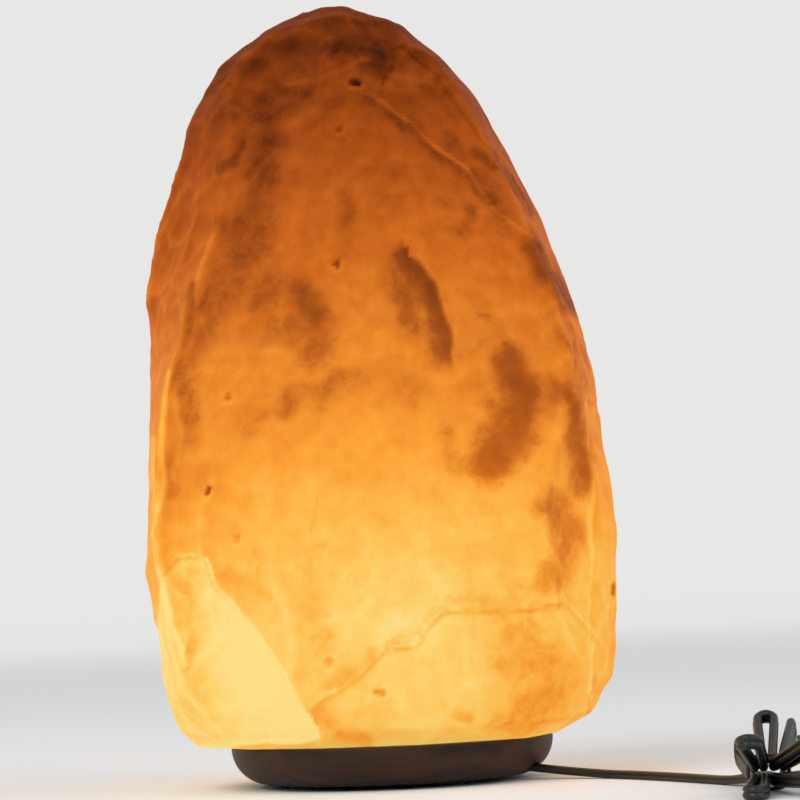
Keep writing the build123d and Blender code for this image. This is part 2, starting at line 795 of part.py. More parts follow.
def make_switch_upper_shell():
    top = switch_height - switch_wall
    shell = extrude(Pos(0, 0, switch_split) * switch_outline(), switch_height - switch_split)
    shell = fillet(shell.edges().group_by(Axis.Z)[-1], switch_edge)
    shell -= extrude(Pos(0, 0, switch_split) * switch_outline(switch_wall), top - switch_split)
    window = Box(rocker_width + 0.6, rocker_length + 2 * rocker_window_gap, 4 * switch_height)
    shell -= window
    lug_low = rocker_pivot_height - rocker_pin_radius - 1.2
    for side in (-1, 1):
        lug_middle = side * (rocker_width / 2 + 0.3 + rocker_pin_length / 2)
        lug = Pos(lug_middle, 0, lug_low) * Box(
            rocker_pin_length, 6.0, top - lug_low + 0.2, align=(Align.CENTER, Align.CENTER, Align.MIN))
        shell += lug
        boss = Pos(0, side * switch_screw_offset, switch_split) * Cylinder(
            2.9, top - switch_split + 0.2, align=(Align.CENTER, Align.CENTER, Align.MIN))
        shell += boss
        shell -= Pos(0, side * switch_screw_offset, switch_split) * Cylinder(switch_screw_radius + 0.05, 10.0)
    shell -= Pos(0, 0, rocker_pivot_height) * Rot(0, 90, 0) * Cylinder(
        rocker_pin_radius + rocker_running_gap, rocker_width + 0.6 + 2 * rocker_pin_length)
    for bar in switch_cord_windows():
        shell -= bar
    return in_switch(shell)


def make_switch_rocker():
    """The rocker on its two pins, tipped to its lit position."""
    edge = switch_height - rocker_pivot_height + rocker_proud
    crease = switch_height - rocker_pivot_height + rocker_crease
    half = rocker_length / 2
    profile = make_face(Polyline((-half, edge), (0, crease), (half, edge), (half, 1.0), (0.55 * half, -0.6),
                                 (0, -rocker_depth), (-0.55 * half, -0.6), (-half, 1.0), close=True))
    body = extrude(Plane.YZ * profile, rocker_width / 2, both=True)
    body = fillet(body.edges().filter_by(Axis.X).group_by(Axis.Z)[-1], 0.8)
    body += Rot(0, 90, 0) * Cylinder(rocker_pin_radius, rocker_width + 2 * (rocker_pin_length + 0.1))
    return in_switch(Pos(0, 0, rocker_pivot_height) * Rot(-rocker_tilt, 0, 0) * body)


def make_switch_contacts():
    """Two sprung brass strips on the lower shell's floor, turned up towards the rocker."""
    made = []
    low = switch_wall + switch_contact_thickness / 2
    for end in (-1, 1):
        line = Polyline((end * 14.0, low), (end * 6.0, low), (end * 3.2, switch_split - 1.2))
        made.append(in_switch(Rot(0, 0, 90) * strip(line, switch_contact_thickness, switch_contact_width)))
    return Compound(children=made)


def make_switch_screws():
    made = []
    upright = (Align.CENTER, Align.CENTER, Align.MIN)
    for end in (-1, 1):
        head = Pos(0, 0, 0.5) * Cylinder(switch_screw_head, 1.3, align=upright)
        shank = Pos(0, 0, 1.8) * Cylinder(switch_screw_radius, 8.0, align=upright)
        slots = Box(3.2, 0.6, 2.2) + Box(0.6, 3.2, 2.2)
        made.append(in_switch(Pos(0, end * switch_screw_offset, 0) * (head + shank - slots)))
    return Compound(children=made)


# ---------------------------------------------------------------- mains plug
def at_mains(shape):
    """A shape moved from the middle of the plug's face, pins towards -Y, to where the plug lies."""
    return Pos(mains_face[0], mains_face[1], mains_height) * shape


def along_y(radius, start, end, x=0.0):
    """A round bar along Y between two places."""
    return Pos(x, (start + end) / 2, 0) * Rot(90, 0, 0) * Cylinder(radius, end - start)


def make_plug_body():
    half_width, half_neck = mains_width / 2, mains_neck_width / 2
    outline = make_face(Polyline(
        (-half_width, 0), (half_width, 0), (half_width, mains_shoulder), (half_neck, mains_length),
        (-half_neck, mains_length), (-half_width, mains_shoulder), close=True))
    body = extrude(outline, mains_thickness / 2, both=True)
    body = fillet(body.edges().filter_by(Axis.Z), mains_edge)
    body = fillet(body.faces().sort_by(Axis.Z)[-1].edges() + body.faces().sort_by(Axis.Z)[0].edges(),
                  mains_edge - 0.4)
    for side in (-1, 1):
        body -= along_y(sleeve_core_radius + 0.05, -1.0, pin_root, side * pin_spacing / 2)
    return at_mains(body)


def relief_taper(inset):
    """The strain relief's taper from the plug to the cord, drawn in by an inset."""
    near = RectangleRounded(relief_base[0] - 2 * inset, relief_base[1] - 2 * inset, 2.2)
    far = RectangleRounded(relief_end[0] - inset, relief_end[1] - inset, 1.8)
    return loft([Plane(origin=(0, mains_length, 0), x_dir=(1, 0, 0), z_dir=(0, 1, 0)) * near,
                 Plane(origin=(0, mains_length + relief_length, 0), x_dir=(1, 0, 0), z_dir=(0, 1, 0)) * far])


def make_plug_strain_relief():
    relief = relief_taper(relief_groove)
    rib_pitch = relief_length / relief_ribs
    for n in range(relief_ribs):
        slab = Pos(0, mains_length + (n + 0.3) * rib_pitch, 0) * Box(40, 0.6 * rib_pitch, 40)
        relief += relief_taper(0) & slab
    return at_mains(relief)


def make_plug_pins():
    pins = []
    for side in (-1, 1):
        x = side * pin_spacing / 2
        tip = along_y(pin_radius, -pin_length, -sleeve_length, x)
        tip = fillet(tip.edges().group_by(Axis.Y)[0], pin_tip_round)
        pins.append(at_mains(tip + along_y(sleeve_core_radius, -sleeve_length, pin_root, x)))
    return Compound(children=pins)


def make_pin_sleeves():
    sleeves = []
    for side in (-1, 1):
        x = side * pin_spacing / 2
        sleeves.append(at_mains(along_y(sleeve_radius, -sleeve_length, 0, x)
                                - along_y(sleeve_core_radius + 0.02, -sleeve_length - 1, 1, x)))
    return Compound(children=sleeves)


NODES = {
    "base_pads": make_base_pads,
    "wood_base": make_wood_base,
    "base_screws": make_base_screws,
    "screw_plugs": make_screw_plugs,
    "salt_crystal": make_salt_crystal,
    "holder_cap": make_holder_cap,
    "cord_clamp": make_cord_clamp,
    "clamp_screws": make_clamp_screws,
    "holder_shell": make_holder_shell,
    "contact_block": make_contact_block,
    "thread_shell": make_thread_shell,
    "centre_contact": make_centre_contact,
    "terminals": make_terminals,
    "terminal_screws": make_terminal_screws,
    "spring_clip": make_spring_clip,
    "clip_nut": make_clip_nut,
    "bulb_tip": make_bulb_tip,
    "bulb_insulator": make_bulb_insulator,
    "bulb_cap": make_bulb_cap,
    "bulb_glass": make_bulb_glass,
    "bulb_stem": make_bulb_stem,
    "lead_wires": make_lead_wires,
    "filament": make_filament,
    "cord_inner": make_cord_inner,
    "cord_run": make_cord_run,
    "cord_hank": make_cord_hank,
    "twist_tie": make_twist_tie,
    "cord_to_switch": make_cord_to_switch,
    "cord_to_plug": make_cord_to_plug,
    "switch_lower_shell": make_switch_lower_shell,
    "switch_upper_shell": make_switch_upper_shell,
    "switch_rocker": make_switch_rocker,
    "switch_contacts": make_switch_contacts,
    "switch_screws": make_switch_screws,
    "plug_body": make_plug_body,
    "plug_strain_relief": make_plug_strain_relief,
    "plug_pins": make_plug_pins,
    "pin_sleeves": make_pin_sleeves,
}

os.makedirs("parts", exist_ok=True)
for node, make in NODES.items():
    shape = make()
    shape.label = node
    export_step(shape, f"parts/{node}.step")
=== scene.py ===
"""A hewn salt lamp on a turned disc, with its cord, switch and flat plug, dressed over the CAD frame."""

import json
import logging
import math
from dataclasses import dataclass
from enum import Enum
from typing import Any, Callable, Iterable, Sequence

import bpy
import numpy as np
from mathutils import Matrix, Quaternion, Vector, noise


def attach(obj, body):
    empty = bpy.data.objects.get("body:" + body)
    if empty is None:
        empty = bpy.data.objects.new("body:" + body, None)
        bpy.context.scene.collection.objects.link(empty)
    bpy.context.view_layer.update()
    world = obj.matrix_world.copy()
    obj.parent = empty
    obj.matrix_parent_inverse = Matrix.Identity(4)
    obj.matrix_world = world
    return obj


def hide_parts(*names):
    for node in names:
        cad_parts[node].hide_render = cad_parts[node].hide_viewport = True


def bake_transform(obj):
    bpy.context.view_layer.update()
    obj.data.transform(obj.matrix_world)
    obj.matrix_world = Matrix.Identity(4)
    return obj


log = logging.getLogger("salt_lamp")
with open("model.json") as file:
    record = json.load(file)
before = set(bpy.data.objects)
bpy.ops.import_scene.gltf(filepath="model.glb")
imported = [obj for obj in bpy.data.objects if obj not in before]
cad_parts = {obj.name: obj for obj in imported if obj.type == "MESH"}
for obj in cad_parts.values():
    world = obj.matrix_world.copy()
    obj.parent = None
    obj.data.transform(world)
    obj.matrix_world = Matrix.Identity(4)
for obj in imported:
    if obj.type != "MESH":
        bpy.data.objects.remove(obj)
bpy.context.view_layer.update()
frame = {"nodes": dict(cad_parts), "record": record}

Point = tuple[float, float, float]
Flat = tuple[float, float]
Array = np.ndarray
Piece = bpy.types.Object
Finish = bpy.types.Material
MM = 0.001
FULL_TURN = 2 * math.pi
NOISE_SEED = 7


class Body(str, Enum):
    """The CAD bodies that pieces ride on."""

    LAMP = "lamp"
    HOLDER = "holder"
    BULB = "bulb"
    ROCKER = "rocker"


class Slot(str, Enum):
    """The record's material slots that new pieces take their finish from."""

    SALT = "salt"
    CORD = "cord"
    TIE = "tie"
    NICKEL = "nickel"


# ---------------------------------------------------------------- shader sums
class Sock:
    """One socket of a material, which can stand in a sum."""

    def __init__(self, dye: "Dye", out: bpy.types.NodeSocket) -> None:
        """Keep the material and the output socket."""
        self.dye, self.out = dye, out

    def sum(self, operation: str, *others: Any, swap: bool = False) -> "Sock":
        """Add one Math node.

        Args:
            operation: the Math node's operation.
            others: the other numbers or sockets.
            swap: whether this socket comes second.

        Returns:
            The result's socket.
        """
        values = [self, *others]
        if swap:
            values[0], values[1] = values[1], values[0]
        return self.dye.place("ShaderNodeMath", {"operation": operation}, dict(enumerate(values)))

    def __add__(self, other: Any) -> "Sock":
        """Sum."""
        return self.sum("ADD", other)

    __radd__ = __add__

    def __sub__(self, other: Any) -> "Sock":
        """Difference."""
        return self.sum("SUBTRACT", other)

    def __rsub__(self, other: Any) -> "Sock":
        """Reflected difference."""
        return self.sum("SUBTRACT", other, swap=True)

    def __mul__(self, other: Any) -> "Sock":
        """Product."""
        return self.sum("MULTIPLY", other)

    def __abs__(self) -> "Sock":
        """Size without sign."""
        return self.sum("ABSOLUTE")

    def step(self, low: float, high: float, to_low: float = 0.0, to_high: float = 1.0) -> "Sock":
        """Map a range smoothly on another, held at both ends.

        Args:
            low: value that gives to_low.
            high: value that gives to_high.
            to_low: the result below.
            to_high: the result above.

        Returns:
            The mapped socket.
        """
        return self.dye.place("ShaderNodeMapRange", {"interpolation_type": "SMOOTHSTEP"},
                              {0: self, 1: low, 2: high, 3: to_low, 4: to_high})


class Dye:
    """A material under construction: one Principled shader and the nodes that feed it."""

    def __init__(self, name: str) -> None:
        """Start a material with a bare Principled shader."""
        self.material = bpy.data.materials.new(name)
        self.material.use_nodes = True
        self.tree = self.material.node_tree
        self.shader = next(n for n in self.tree.nodes if n.type == "BSDF_PRINCIPLED")

    def place(self, kind: str, settings: dict[str, Any], sockets: dict[Any, Any], out: int = 0) -> Sock:
        """Add one node.

        Args:
            kind: the node's type.
            settings: its own settings; "stops" gives a ramp's (place, colour) pairs.
            sockets: a value or a Sock for each input, by name or number.
            out: the number of the output to hand back.

        Returns:
            That output.
        """
        node = self.tree.nodes.new(kind)
        for key, value in settings.items():
            if key == "stops":
                stops = node.color_ramp.elements
                while len(stops) < len(value):
                    stops.new(0.5)
                for stop, (spot, colour) in zip(stops, value):
                    stop.position, stop.color = spot, (*colour, 1.0)
            else:
                setattr(node, key, value)
        for key, value in sockets.items():
            self.feed(node.inputs[key], value)
        return Sock(self, node.outputs[out])

    def feed(self, socket: bpy.types.NodeSocket, value: Any) -> None:
        """Set a socket's value, or link it to a Sock."""
        if isinstance(value, Sock):
            self.tree.links.new(value.out, socket)
        elif isinstance(value, tuple) and len(value) == 3 and socket.type == "RGBA":
            socket.default_value = (*value, 1.0)
        else:
            socket.default_value = value

    def wear(self, **inputs: Any) -> None:
        """Set the Principled shader's inputs, with _ for a space in their names."""
        for name, value in inputs.items():
            self.feed(self.shader.inputs[name.replace("_", " ")], value)

    def spot(self) -> Sock:
        """The place on the piece, in metres."""
        return self.place("ShaderNodeTexCoord", {}, {}, out=3)

    def stretched(self, scale: Point, turn: Point = (0, 0, 0)) -> Sock:
        """The place, scaled along each axis and turned."""
        return self.place("ShaderNodeMapping", {}, {"Vector": self.spot(), "Scale": scale, "Rotation": turn})

    def attribute(self, name: str) -> Sock:
        """A number kept on the mesh's points."""
        return self.place("ShaderNodeAttribute", {"attribute_name": name}, {}, out=2)

    def cloud(self, scale: float, detail: float = 3.0, rough: float = 0.5, at: Sock | None = None,
              warp: float = 0.0) -> Sock:
        """Noise from 0 to 1.

        Args:
            scale: how many features to a metre.
            detail: octaves.
            rough: how much each finer octave counts.
            at: the coordinates, or the place itself.
            warp: distortion.

        Returns:
            The noise's value.
        """
        return self.place("ShaderNodeTexNoise", {}, {
            "Vector": at or self.spot(), "Scale": scale, "Detail": detail, "Roughness": rough,
            "Distortion": warp})

    def cells(self, scale: float) -> Sock:
        """Distance to the nearest cell's middle, in cells."""
        return self.place("ShaderNodeTexVoronoi", {"feature": "F1"}, {"Vector": self.spot(), "Scale": scale})

    def mixed(self, share: Any, low: Any, high: Any, blend: str = "MIX") -> Sock:
        """Mix two colours by a share from 0 to 1."""
        return self.place("ShaderNodeMix", {"data_type": "RGBA", "blend_type": blend, "clamp_factor": True},
                          {0: share, 6: low, 7: high}, out=2)

    def ramp(self, value: Sock, stops: Sequence[tuple[float, Point]]) -> Sock:
        """Colours along a value from 0 to 1."""
        return self.place("ShaderNodeValToRGB", {"stops": stops}, {0: value})

    def bump(self, height: Sock, distance: float, strength: float = 1.0, under: Sock | None = None) -> Sock:
        """Raise a surface by a height from 0 to 1, so many metres high."""
        sockets = {"Height": height, "Distance": distance, "Strength": strength}
        if under:
            sockets["Normal"] = under
        return self.place("ShaderNodeBump", {}, sockets)


# ---------------------------------------------------------------- finishes
@dataclass(frozen=True)
class GlowingSalt:
    """Rock salt lit from inside, the bulb's light painted into its colours: amber-white by the bulb, dark
    red-brown at the crown.
    """

    stops: tuple[tuple[float, Point], ...] = (
        (0.00, (0.060, 0.0090, 0.0006)),
        (0.15, (0.200, 0.0330, 0.0018)),
        (0.30, (0.400, 0.0750, 0.0060)),
        (0.45, (0.620, 0.1400, 0.0120)),
        (0.58, (0.820, 0.2400, 0.0220)),
        (0.70, (0.980, 0.3600, 0.0360)),
        (0.82, (1.000, 0.5000, 0.0750)),
        (0.92, (1.000, 0.6400, 0.1500)),
        (1.00, (1.000, 0.7400, 0.2400)),
    )
    lit_base_share: float = 0.22
    mud_and_shade_tint: Point = (0.54, 0.58, 0.80)

    def make(self) -> Finish:
        """Build the material from the values kept on the mesh: the bulb's painted glow, the cloudy stains
        with painted shade along ledges and flake edges, and the painted light on crests and shade in hollows.
        """
        dye = Dye("rock_salt")
        glow, cloud, crest = (dye.attribute(name) for name in ("glow", "cloud", "crest"))
        drift = dye.cloud(24, 5, 0.6, warp=0.6)
        ragged = dye.cloud(80, 6, 0.65, warp=0.5)
        fine = dye.cloud(260, 5, 0.70)
        grit = dye.cloud(1000, 2, 0.6)
        # Painted shade: the cloud attribute holds cloudy stains and also painted shade along ledges and flake
        # edges, so the stain darkening and mud tint below paint that shade too.
        near_stain_and_shade = cloud.step(0.0, 0.30)
        torn = (ragged - 0.5) * 1.25 + (fine - 0.5) * 0.55
        stain_and_shade = (cloud * 0.95 + near_stain_and_shade * torn).step(0.08, 1.02)
        wisps = (drift * 0.6 + ragged * 0.4).step(0.52, 0.68)
        # The tone is the bulb's painted glow with random variation; the crest term paints light on crests and
        # shade in hollows.
        tone = glow + (drift - 0.5) * 0.21 + (ragged - 0.5) * 0.15 + (fine - 0.5) * 0.10 + crest * 0.34
        tone = tone - stain_and_shade * glow.step(0.50, 0.80, 0.19, 0.31) - wisps * 0.05
        mud_and_shade_share = stain_and_shade * glow.step(0.45, 0.85, 0.95, 0.08)
        glow_and_stain_colour = dye.mixed(mud_and_shade_share, dye.ramp(tone, self.stops), self.mud_and_shade_tint, "MULTIPLY")
        grains = dye.bump(grit, 0.00035, 0.5)
        rough = dye.bump(ragged * 0.5 + fine * 0.3, 0.0022, 0.6, grains)
        # Painted light: the glow colour goes into the base colour as well as the emission colour, so the
        # bulb's light is painted into both.
        dye.wear(
            Base_Color=dye.mixed(1.0, glow_and_stain_colour, (self.lit_base_share,) * 3, "MULTIPLY"),
            Emission_Color=dye.mixed(1.0, glow_and_stain_colour, (1 - self.lit_base_share,) * 3, "MULTIPLY"),
            Emission_Strength=1.0,
            Roughness=fine * 0.3 + 0.40,
            Specular_IOR_Level=0.03,
            Normal=rough)
        return dye.material


@dataclass(frozen=True)
class TurnedWood:
    """Dark stained wood: long grain across the disc, and pores."""

    dark: Point = (0.012, 0.0045, 0.0019)
    light: Point = (0.046, 0.0175, 0.0068)
    pore: Point = (0.008, 0.004, 0.0025)
    grain_turn: Point = (0, 0, 0.35)

    def make(self) -> Finish:
        """Build the grain, the pores and the satin coat."""
        dye = Dye("stained_wood")
        along = dye.stretched((5, 60, 60), self.grain_turn)
        streaks = dye.cloud(1.0, 6, 0.6, at=along, warp=1.2)
        pores = dye.cloud(1.0, 3, 0.7, at=dye.stretched((60, 1500, 1500), self.grain_turn)).step(0.60, 0.72)
        patches = dye.cloud(25, 3)
        colour = dye.mixed((streaks + (patches - 0.5) * 0.3).step(0.32, 0.68), self.dark, self.light)
        colour = dye.mixed(pores * 0.55, colour, self.pore)
        dye.wear(Base_Color=colour, Roughness=0.44 + streaks * 0.2 + pores * 0.2, Coat_Weight=0.05,
                 Coat_Roughness=0.35, Specular_IOR_Level=0.25,
                 Normal=dye.bump(streaks * 0.35 - pores * 0.65, 0.0003, 0.55))
        return dye.material


@dataclass(frozen=True)
class Moulded:
    """Moulded plastic or rubber with a fine skin: its colour, gloss and how coarse the skin is."""

    name: str
    colour: Point
    rough: float = 0.42
    skin: float = 900.0
    height: float = 0.00006

    def make(self) -> Finish:
        """Build the skin and the faint uneven gloss."""
        dye = Dye(self.name)
        skin, haze = dye.cloud(self.skin, 3, 0.6), dye.cloud(40, 3)
        lighter = tuple(min(1.0, c * 1.7 + 0.004) for c in self.colour)
        dye.wear(Base_Color=dye.mixed(haze.step(0.3, 0.8), self.colour, lighter),
                 Roughness=self.rough + (haze - 0.5) * 0.16, Specular_IOR_Level=0.45,
                 Normal=dye.bump(skin, self.height, 0.6))
        return dye.material


@dataclass(frozen=True)
class Metal:
    """Bare metal with fine marks along one way: steel, brass, nickel or solder."""

    name: str
    colour: Point
    rough: float = 0.30
    grain: Point = (300.0, 300.0, 1800.0)

    def make(self) -> Finish:
        """Build the marks and the tarnish."""
        dye = Dye(self.name)
        marks = dye.cloud(1.0, 3, 0.6, at=dye.stretched(self.grain))
        tarnish = dye.cloud(120, 4, 0.6).step(0.45, 0.75)
        dull = tuple(c * 0.72 for c in self.colour)
        dye.wear(Base_Color=dye.mixed(tarnish * 0.5, self.colour, dull), Metallic=1.0,
                 Roughness=self.rough + (marks - 0.5) * 0.18 + tarnish * 0.12,
                 Normal=dye.bump(marks, 0.00003, 0.4))
        return dye.material


@dataclass(frozen=True)
class BulbGlass:
    """Clear warm bulb glass, with the coil's light in it."""

    name: str = "warm_glass"
    tint: Point = (1.0, 0.93, 0.80)
    seen_through: float = 0.28
    light: float = 0.35
    coil_height: float = 0.070
    coil_reach: float = 0.022

    def make(self) -> Finish:
        """Build thin glass by alpha, with a warm glow that is stronger where the coil is."""
        dye = Dye(self.name)
        height = dye.place("ShaderNodeSeparateXYZ", {}, {0: dye.spot()}, out=2)
        near_coil = 1.0 - abs(height - self.coil_height).step(0.0, self.coil_reach)
        dye.wear(Base_Color=self.tint, Roughness=0.06, Alpha=self.seen_through + near_coil * 0.12,
                 Emission_Color=dye.mixed(near_coil, (0.10, 0.055, 0.02), (1.0, 0.70, 0.32)),
                 Emission_Strength=self.light)
        return dye.material


@dataclass(frozen=True)
class HotWire:
    """The lit coil: yellow-white, with the turns of the coil as bright and darker bands."""

    light: float = 3.0
    turns_to_metre: float = 420.0

    def make(self) -> Finish:
        """Build the banded light."""
        dye = Dye("lit_coil")
        turns = dye.place("ShaderNodeTexWave", {"bands_direction": "X"},
                          {"Vector": dye.spot(), "Scale": self.turns_to_metre})
        dye.wear(Base_Color=(0.9, 0.7, 0.4), Roughness=0.5,
                 Emission_Color=dye.mixed(turns, (1.0, 0.55, 0.20), (1.0, 0.90, 0.62)),
                 Emission_Strength=self.light)
        return dye.material


@dataclass(frozen=True)
class CordSheath:
    """The cord's black sheath: smooth, with faint drag marks along it and rub marks in patches."""

    colour: Point = (0.0055, 0.0055, 0.006)

    def make(self) -> Finish:
        """Build the marks from the cord's own map, so that they follow its turns."""
        dye = Dye("cord_sheath")
        lengthwise = dye.place("ShaderNodeMapping", {}, {
            "Vector": dye.place("ShaderNodeUVMap", {"uv_map": "run"}, {}), "Scale": (30.0, 900.0, 1.0)})
        drag = dye.cloud(1.0, 3, 0.6, at=lengthwise)
        rubbed = dye.cloud(300, 3, 0.6).step(0.55, 0.75)
        dye.wear(Base_Color=dye.mixed(rubbed * 0.5, self.colour, (0.015, 0.0145, 0.014)),
                 Roughness=0.36 + drag * 0.12 + rubbed * 0.12, Specular_IOR_Level=0.5,
                 Normal=dye.bump(drag * 0.6 + rubbed * 0.4, 0.00004, 0.5))
        return dye.material


@dataclass(frozen=True)
class Felt:
    """Pressed wool felt for the pads under the base."""

    colour: Point = (0.030, 0.029, 0.028)

    def make(self) -> Finish:
        """Build the fibres."""
        dye = Dye("wool_felt")
        fibres = dye.cloud(1500, 4, 0.7, warp=2.0)
        dye.wear(Base_Color=dye.mixed(fibres.step(0.35, 0.7), self.colour, (0.085, 0.082, 0.078)),
                 Roughness=0.95, Sheen_Weight=0.3, Specular_IOR_Level=0.1,
                 Normal=dye.bump(fibres, 0.0004, 0.8))
        return dye.material


@dataclass(frozen=True)
class Porcelain:
    """The holder's contact block: white porcelain with a thin uneven glaze."""

    def make(self) -> Finish:
        """Build the glaze and its specks."""
        dye = Dye("porcelain")
        glaze, specks = dye.cloud(160, 3), dye.cells(900).step(0.06, 0.12, 1.0, 0.0)
        dye.wear(Base_Color=dye.mixed(specks * 0.5, (0.80, 0.77, 0.71), (0.42, 0.37, 0.30)),
                 Roughness=0.20 + glaze * 0.25, Coat_Weight=0.3, Normal=dye.bump(glaze, 0.0001, 0.5))
        return dye.material


# ---------------------------------------------------------------- making pieces
def alone() -> None:
    """Deselect everything, out of edit mode."""
    if bpy.context.mode != "OBJECT":
        bpy.ops.object.mode_set(mode="OBJECT")
    bpy.ops.object.select_all(action="DESELECT")


def chosen(piece: Piece) -> Piece:
    """Make a piece the only selected and the active one."""
    alone()
    piece.select_set(True)
    bpy.context.view_layer.objects.active = piece
    return piece


def settle(piece: Piece, name: str) -> Piece:
    """Name a piece and apply its place, so that its object sits at the origin."""
    chosen(piece)
    bpy.ops.object.transform_apply(location=True, rotation=True, scale=True)
    piece.name = piece.data.name = name
    return piece


def modified(piece: Piece, kind: str, **settings: Any) -> Piece:
    """Add one modifier and apply it.

    Args:
        piece: the mesh.
        kind: the modifier's type.
        settings: its settings.

    Returns:
        The piece.
    """
    chosen(piece)
    added = piece.modifiers.new(kind.lower(), kind)
    for key, value in settings.items():
        setattr(added, key, value)
    bpy.ops.object.modifier_apply(modifier=added.name)
    return piece


def linked(name: str, data: Any) -> Piece:
    """A new object that holds some data, in the scene."""
    piece = bpy.data.objects.new(name, data)
    bpy.context.scene.collection.objects.link(piece)
    return piece


def edited(piece: Piece, work: Callable[..., Any], **settings: Any) -> Piece:
    """Run one edit-mode operator on the whole of a piece.

    Args:
        piece: the mesh.
        work: the operator.
        settings: its settings.

    Returns:
        The piece.
    """
    chosen(piece)
    bpy.ops.object.mode_set(mode="EDIT")
    bpy.ops.mesh.select_all(action="SELECT")
    work(**settings)
    bpy.ops.object.mode_set(mode="OBJECT")
    return piece


def bands(rows: int, count: int, capped: bool = False) -> list[tuple[int, ...]]:
    """The faces between rings of points that follow one another.

    Args:
        rows: how many rings there are.
        count: how many points each has.
        capped: whether the first and last rings are closed.

    Returns:
        The faces, by the points' numbers.
    """
    faces = [(i * count + k, i * count + (k + 1) % count, (i + 1) * count + (k + 1) % count,
              (i + 1) * count + k) for i in range(rows - 1) for k in range(count)]
    if capped:
        faces += [tuple(range(count))[::-1], tuple((rows - 1) * count + k for k in range(count))]
    return faces


def headings(path: Array) -> list[Vector]:
    """The unit direction of a path at each of its points."""
    return [Vector(t).normalized() for t in np.gradient(path, axis=0)]


def held(value: float, low: float = 0.0) -> float:
    """A number kept from a lower limit to 1."""
    return min(1.0, max(low, value))


def meshed(name: str, points: Iterable[Sequence[float]], faces: Iterable[Sequence[int]]) -> Piece:
    """A new piece from points and faces."""
    mesh = bpy.data.meshes.new(name)
    mesh.from_pydata([tuple(p) for p in points], [], [tuple(f) for f in faces])
    mesh.update()
    return linked(name, mesh)


def copy_of(node: str, name: str) -> Piece:
    """A merged copy of a CAD node's mesh, to be worked on."""
    piece = linked(name, frame["nodes"][node].data.copy())
    return edited(piece, bpy.ops.mesh.remove_doubles, threshold=0.00001)


def smooth(piece: Piece, angle: float = 35.0) -> Piece:
    """Shade a piece smooth, with edges sharper than an angle kept."""
    chosen(piece)
    bpy.ops.object.shade_smooth_by_angle(angle=math.radians(angle))
    return piece


def dressed(piece: Piece, finish: Finish) -> Piece:
    """Give a piece one material all over."""
    piece.data.materials.clear()
    piece.data.materials.append(finish)
    return piece


def report(piece: Piece, body: Body, slot: Slot, *nodes: str) -> Piece:
    """Put a piece on its body, in place of its CAD nodes, and log it.

    Args:
        piece: the finished piece.
        body: the CAD body that it moves with.
        slot: its material slot; not used.
        nodes: the CAD nodes that it stands for.

    Returns:
        The piece.
    """
    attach(piece, body.value)
    if nodes:
        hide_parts(*nodes)
    log.info("%s: %d faces on %s", piece.name, len(piece.data.polygons), body.value)
    return piece


